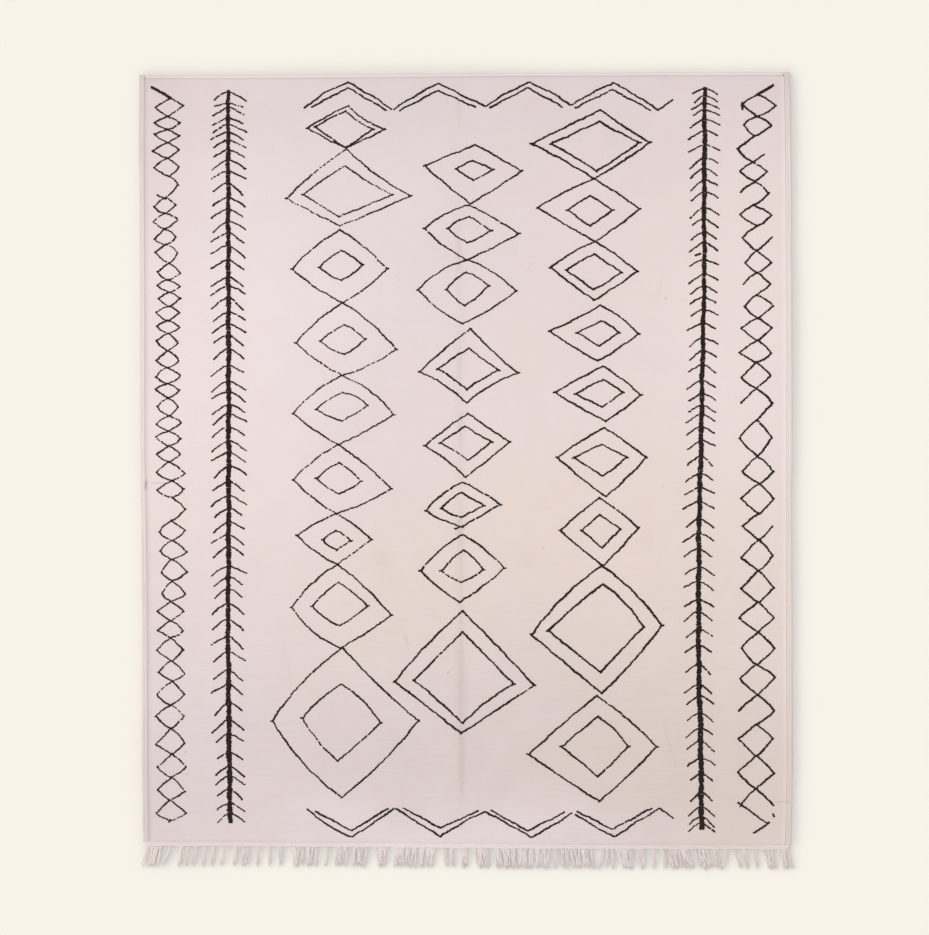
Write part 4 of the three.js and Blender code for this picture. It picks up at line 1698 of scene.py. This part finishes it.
def weft_faced_weave():
    """Group: the height of ribs of packed weft, each rib's picks half a step off its neighbours'."""

    def fill(graph, entry):
        wandering = graph.wander(entry["Vector"], 14, (0.006, 0.006, 0))
        place = graph.node("SeparateXYZ", {0: wandering}).outputs
        across = graph.math("DIVIDE", place["X"], entry["Rib Spacing"])
        rib = graph.math("ROUND", across)
        off_rib = graph.math("SUBTRACT", across, rib)
        half_step = graph.math("PINGPONG", graph.math("MULTIPLY", rib, 0.5), 0.5)
        along_rib = graph.math("DIVIDE", place["Y"], entry["Pick Spacing"])
        pick = graph.math("FRACT", graph.math("ADD", along_rib, half_step))
        off_pick = graph.math("SUBTRACT", pick, 0.5)
        round_rib = graph.math("MULTIPLY", off_rib, off_rib)
        round_pick = graph.math("MULTIPLY", off_pick, off_pick)
        sunk = graph.total(
            graph.math("MULTIPLY", round_rib, 2.2), graph.math("MULTIPLY", round_pick, 1.8))
        return {"Height": graph.math("SUBTRACT", 1.0, sunk)}

    return shader_group(
        "Weft-faced Weave",
        {"Vector": ("Vector", (0, 0, 0)), "Rib Spacing": ("Float", 0.005),
         "Pick Spacing": ("Float", 0.0018)},
        {"Height": "Float"}, fill)


def wool_hair():
    """Group: the height of fine hairs that lie every way over spun wool, and a painted shade that is
    lighter on them and darker between them.
    """

    def fill(graph, entry):
        vector = entry["Vector"]
        heights = []
        for angle, fineness in ((0.4, 1.0), (1.9, 1.25), (-0.7, 0.85)):
            turned = graph.node(
                "VectorRotate", {"Vector": vector, "Center": (0, 0, 0), "Angle": angle},
                rotation_type="Z_AXIS").outputs["Vector"]
            drawn = graph.vector("MULTIPLY", turned, (190 * fineness, 2400 * fineness, 600))
            heights.append(graph.noise(drawn, 1.0, 1.0).outputs["Fac"])
        height = graph.math("MAXIMUM", graph.math("MAXIMUM", heights[0], heights[1]), heights[2])
        return {"Height": height, "Fleck": graph.ramp(height, 0.45, 0.75)}

    return shader_group(
        "Wool Hair", {"Vector": ("Vector", (0, 0, 0))}, {"Height": "Float", "Fleck": "Float"}, fill)


def yarn_twist():
    """Group: the height of plies that wind about a cord, from its Thread map."""

    def fill(graph, entry):
        place = graph.node("SeparateXYZ", {0: entry["Thread"]}).outputs
        turns = graph.math("DIVIDE", place["Y"], entry["Pitch"])
        wound = graph.math("ADD", graph.math("MULTIPLY", place["X"], entry["Plies"]), turns)
        off_ply = graph.math("SUBTRACT", graph.math("FRACT", wound), 0.5)
        sunk = graph.math("MULTIPLY", graph.math("MULTIPLY", off_ply, off_ply), 4.0)
        return {"Height": graph.math("SUBTRACT", 1.0, sunk)}

    return shader_group(
        "Yarn Twist",
        {"Thread": ("Vector", (0, 0, 0)), "Pitch": ("Float", 0.005), "Plies": ("Float", 2.0)},
        {"Height": "Float"}, fill)


# ---- wools --------------------------------------------------------------------------------------

WEAVE_RELIEF = 0.35 * MM
YARN_RELIEF = 0.4 * MM
KNOT_RELIEF = 0.8 * MM
CORD_TWIST = 6 * MM
WARP_TWIST = 7 * MM


def filled_material(name, fill):
    """The material of this name, filled the first time that it is asked for."""
    made = bpy.data.materials.get(name)
    if made is None:
        made = bpy.data.materials.new(name)
        made.use_nodes = True
        made.node_tree.nodes.clear()
        fill(Graph(made.node_tree))
    return made


def object_place(graph):
    """Where a point of the surface is on the rug."""
    return graph.node("TexCoord", {}).outputs["Object"]


def thread_map(graph):
    """Where a point of the surface is round and along its cord."""
    return graph.node("UVMap", {}, uv_map=THREAD_MAP).outputs["UV"]


def wool_surface(graph, colour, height, depth, roughness=0.93, sheen=0.12):
    """A dull, softly haloed surface of wool, raised by a height."""
    bump = graph.node("Bump", {"Strength": 1.0, "Distance": depth, "Height": height})
    shader = graph.node(
        "BsdfPrincipled",
        {"Base Color": colour, "Roughness": roughness, "Specular IOR Level": 0.18,
         "Sheen Weight": sheen, "Sheen Roughness": 0.6, "Normal": bump.outputs["Normal"]})
    graph.node("OutputMaterial", {"Surface": shader.outputs["BSDF"]})


def shaded_between_hairs(graph, colour, hair, depth):
    """A colour with painted shade: darker between its hairs and lighter on them."""
    shade = graph.math("MULTIPLY_ADD", hair["Fleck"], depth, 1 - depth / 2)
    return graph.blend(1.0, colour, graph.grey(shade), "MULTIPLY")


def grimed_and_shaded(graph, colour, share):
    """A colour with a share of the grime colour over it, used both for real grime and for painted
    shade.
    """
    return graph.blend(share, colour, (*colours().soil, 1))


def ground_material():
    """Ivory wool in a weft-faced weave, soiled in its folds, with painted shade in its folds, in the
    hollows of its weave, between its hairs and where it meets its cords.
    """

    def fill(graph):
        place = object_place(graph)
        hair = graph.group(wool_hair(), {"Vector": place})
        weave = graph.group(
            weft_faced_weave(),
            {"Vector": place, "Rib Spacing": sizes().rib_spacing,
             "Pick Spacing": sizes().pick_spacing})["Height"]
        colour = graph.group(aged_wool(), {"Vector": place, "Mottle": 0.010})["Color"]
        # Painted shade between the hairs.
        colour = shaded_between_hairs(graph, colour, hair, 0.04)
        # Painted shade: darker in the hollows between the ribs and picks of the weave.
        colour = grimed_and_shaded(graph, colour, graph.ramp(weave, 0.1, 0.8, 0.04, 0.0))
        worn = graph.group(wear_and_crease_shade(), {"Vector": place})
        # Grime, with painted shade on the creases and along the fold.
        colour = grimed_and_shaded(graph, colour, worn["Soil"])
        # Painted shade: darker along the border, where the cloth meets its cords.
        seam = graph.node("Attribute", {}, attribute_name="seam").outputs["Fac"]
        colour = grimed_and_shaded(graph, colour, graph.ramp(seam, 0.5, 1.0, 0.0, 0.04))
        relief = graph.noise(place, 95, 3.0, 0.6).outputs["Fac"]
        dent = graph.math("DIVIDE", worn["Dent"], -WEAVE_RELIEF)
        height = graph.total(
            graph.math("MULTIPLY", weave, 0.5), graph.math("MULTIPLY", hair["Height"], 0.35),
            relief, dent)
        wool_surface(graph, colour, height, WEAVE_RELIEF)

    return filled_material("Ivory Wool Ground", fill)


def cord_wool(
        name, tint, pitch, plies, dull=(1.0, 1.0, 1.0), soiled_tips=0.0, yellowing=1.0):
    """Ivory wool spun into yarn that winds about its cord, duller in some yarns than in others, with
    painted shade between its plies and hairs.
    """

    def fill(graph):
        place = object_place(graph)
        by_yarn = graph.noise(graph.vector("MULTIPLY", place, (95, 9, 1)), 1.0, 1.0).outputs["Fac"]
        shades = [(*tint, 1), (*[part * share for part, share in zip(tint, dull)], 1)]
        yarn_tint = graph.blend(graph.wave(by_yarn, 0, 1), *shades)
        hair = graph.group(wool_hair(), {"Vector": place})
        twist = graph.group(
            yarn_twist(), {"Thread": thread_map(graph), "Pitch": pitch, "Plies": plies})["Height"]
        colour = graph.group(
            aged_wool(),
            {"Vector": place, "Tint": yarn_tint, "Mottle": 0.018, "Yellowing": yellowing})["Color"]
        # Painted shade between the hairs.
        colour = shaded_between_hairs(graph, colour, hair, 0.07)
        # Painted shade: darker in the grooves between the plies.
        colour = grimed_and_shaded(graph, colour, graph.ramp(twist, 0.0, 0.6, 0.07, 0.0))
        # Grime, with painted shade on the creases and along the fold.
        soil = graph.group(wear_and_crease_shade(), {"Vector": place})["Soil"]
        if soiled_tips:
            run = graph.node("SeparateXYZ", {0: thread_map(graph)}).outputs["Y"]
            soil = graph.math("ADD", soil, graph.ramp(run, 0.025, 0.08, 0, soiled_tips))
        colour = grimed_and_shaded(graph, colour, soil)
        height = graph.total(twist, graph.math("MULTIPLY", hair["Height"], 0.4))
        wool_surface(graph, colour, height, YARN_RELIEF)

    return filled_material(name, fill)


def selvedge_material():
    """The wool that wraps the warp bundles."""
    return cord_wool("Selvedge Wrapping", colours().selvedge, sizes().wrap_pitch, 1.0)


def cord_material():
    """The wool that is twined across the head and foot."""
    return cord_wool("Twined Cord Wool", colours().cord, CORD_TWIST, 2.0)


def fringe_material():
    """The plied warp of the fringe."""
    return cord_wool(
        "Fringe Warp", colours().fringe, WARP_TWIST, 2.0, dull=(0.95, 0.96, 0.95),
        soiled_tips=0.06, yellowing=0.35)


def dark_material():
    """The undyed dark wool of the knots, each a little different and some faded brown, with painted
    shade between its hairs.
    """

    def fill(graph):
        place = object_place(graph)
        hair = graph.group(wool_hair(), {"Vector": place})
        shade = graph.node("Attribute", {}, attribute_name="knot_shade").outputs["Fac"]
        clouds = graph.wave(graph.noise(place, 9, 3.0).outputs["Fac"], -0.3, 0.3)
        share = graph.math("MULTIPLY", graph.total(shade, clouds), 0.55)
        colour = graph.blend(share, (*colours().dark, 1), (*colours().faded, 1))
        # Painted shade between the hairs, strong on the dark wool.
        colour = shaded_between_hairs(graph, colour, hair, 0.5)
        wool_surface(graph, colour, hair["Height"], KNOT_RELIEF, roughness=0.95, sheen=0.0)

    return filled_material("Dark Wool Knots", fill)


# ---- stage --------------------------------------------------------------------------------------

FLOOR_SIZE = 24.0
FLOOR_DROP = 0.2 * MM
SKY_LIGHT = 0.71
SKY_COLOUR = (0.985, 0.995, 1.05)
LAMP_COLOUR = (1.029, 1.0, 0.885)
BRIGHT_SIDE = math.radians(178)

# The ring of low lamps that throws the rug's shadow.
LOW_LAMPS = 12
LOW_LIGHT = 0.37
LOW_ELEVATION = math.radians(8.0)
LOW_LAMP_SIZE = math.radians(12)
ONE_SIDEDNESS = 0.85

# The broad lamp that lights the rug.
KEY_LIGHT = 0.37
KEY_ELEVATION = math.radians(42)
KEY_LAMP_SIZE = math.radians(60)

# The camera, and how much it takes in from top to bottom at the height of the cloth.
LENS = 85.0
SENSOR_HEIGHT = 36.0
CLIP_END = 100.0
VIEW_HEIGHT = 3.590
VIEW_CENTRE_X = -0.0042
VIEW_CENTRE_Y = 0.0125


def floor_material():
    """A pale, dull floor."""

    def fill(graph):
        place = object_place(graph)
        grain = graph.wave(graph.noise(place, 40, 3.0).outputs["Fac"], 0.999, 1.001)
        colour = graph.blend(1.0, (*colours().floor, 1), graph.grey(grain), "MULTIPLY")
        shader = graph.node(
            "BsdfPrincipled",
            {"Base Color": colour, "Roughness": 0.95, "Specular IOR Level": 0.0})
        graph.node("OutputMaterial", {"Surface": shader.outputs["BSDF"]})

    return filled_material("Pale Floor", fill)


class KILIM_OT_stage(bpy.types.Operator):
    """Lay the floor, light it softly and stand the camera straight above the rug"""

    bl_idname = "kilim.stage"
    bl_label = "Stage"

    def execute(self, context):
        scene = context.scene
        floor = self.floor(scene)
        self.sky(scene)
        self.low_lamps(scene, floor)
        self.key_lamp(scene, floor)
        self.camera(scene)
        scene.view_settings.view_transform = "Standard"
        return {"FINISHED"}

    def floor(self, scene):
        """A wide floor just under the rug."""
        bm = bmesh.new()
        bmesh.ops.create_grid(bm, x_segments=1, y_segments=1, size=FLOOR_SIZE / 2)
        bmesh.ops.translate(bm, verts=bm.verts, vec=(0, 0, -FLOOR_DROP))
        mesh = bpy.data.meshes.new("floor")
        bm.to_mesh(mesh)
        bm.free()
        mesh.materials.append(floor_material())
        floor = bpy.data.objects.new("floor", mesh)
        scene.collection.objects.link(floor)
        return floor

    def sky(self, scene):
        """An even, faintly cool light from everywhere."""
        world = bpy.data.worlds.new("Studio")
        world.use_nodes = True
        background = world.node_tree.nodes["Background"]
        background.inputs["Color"].default_value = (*SKY_COLOUR, 1)
        background.inputs["Strength"].default_value = SKY_LIGHT
        scene.world = world

    def lamp(self, scene, name, elevation, azimuth, size, light, floor, on_floor):
        """A large, soft, far-off lamp that lights either the floor alone or all but the floor."""
        lamp = bpy.data.lights.new(name, "SUN")
        lamp.angle = size
        lamp.energy = math.pi * light / math.sin(elevation)
        lamp.color = LAMP_COLOUR
        placed = bpy.data.objects.new(name, lamp)
        placed.rotation_euler = (0, math.pi / 2 - elevation, azimuth)
        scene.collection.objects.link(placed)
        lit = bpy.data.collections.new(f"lit_by_{name}")
        lit.objects.link(floor)
        lit.collection_objects[0].light_linking.link_state = "INCLUDE" if on_floor else "EXCLUDE"
        placed.light_linking.receiver_collection = lit

    def low_lamps(self, scene, floor):
        """A ring of low lamps, strongest at the left, for the rug's soft shadow on the floor."""
        for number in range(LOW_LAMPS):
            azimuth = TURN * number / LOW_LAMPS
            share = (1 + ONE_SIDEDNESS * math.cos(azimuth - BRIGHT_SIDE)) / LOW_LAMPS
            self.lamp(
                scene, f"low_{number}", LOW_ELEVATION, azimuth, LOW_LAMP_SIZE,
                LOW_LIGHT * share, floor, True)

    def key_lamp(self, scene, floor):
        """One broad lamp over the left side, for the rug itself."""
        self.lamp(
            scene, "key", KEY_ELEVATION, BRIGHT_SIDE, KEY_LAMP_SIZE, KEY_LIGHT, floor, False)

    def camera(self, scene):
        """A long lens, straight above."""
        camera = bpy.data.cameras.new("camera")
        camera.lens = LENS
        camera.sensor_fit = "VERTICAL"
        camera.sensor_height = SENSOR_HEIGHT
        camera.clip_end = CLIP_END
        placed = bpy.data.objects.new("camera", camera)
        height = LENS / SENSOR_HEIGHT * VIEW_HEIGHT
        placed.location = (VIEW_CENTRE_X, VIEW_CENTRE_Y, height + sizes().cloth_thickness)
        scene.collection.objects.link(placed)
        scene.camera = placed


# ---- panel and start ----------------------------------------------------------------------------


class KILIM_PT_panel(bpy.types.Panel):
    """The steps that make the rug, in order"""

    bl_idname = "KILIM_PT_panel"
    bl_label = "Berber Kilim"
    bl_space_type = "VIEW_3D"
    bl_region_type = "UI"
    bl_category = "Kilim"

    def draw(self, context):
        layout = self.layout
        for operator in OPERATORS:
            layout.operator(operator.bl_idname)
        for settings in (context.scene.kilim_sizes, context.scene.kilim_colours):
            box = layout.box()
            for name in settings.bl_rna.properties.keys():
                if name not in ("rna_type", "name"):
                    box.prop(settings, name)


OPERATORS = [
    KILIM_OT_stage,
    KILIM_OT_ground_cloth,
    KILIM_OT_selvedges,
    KILIM_OT_heading_cord,
    KILIM_OT_fringe,
    KILIM_OT_lozenges,
    KILIM_OT_fishbones,
    KILIM_OT_chains,
    KILIM_OT_zigzags,
]
CLASSES = [KilimSizes, KilimColours, *OPERATORS, KILIM_PT_panel]


def register():
    for made in CLASSES:
        bpy.utils.register_class(made)
    bpy.types.Scene.kilim_sizes = PointerProperty(type=KilimSizes)
    bpy.types.Scene.kilim_colours = PointerProperty(type=KilimColours)


def unregister():
    del bpy.types.Scene.kilim_colours
    del bpy.types.Scene.kilim_sizes
    for made in reversed(CLASSES):
        bpy.utils.unregister_class(made)


def main():
    register()
    for operator in OPERATORS:
        category, name = operator.bl_idname.split(".")
        getattr(getattr(bpy.ops, category), name)()


if __name__ == "__main__":
    main()
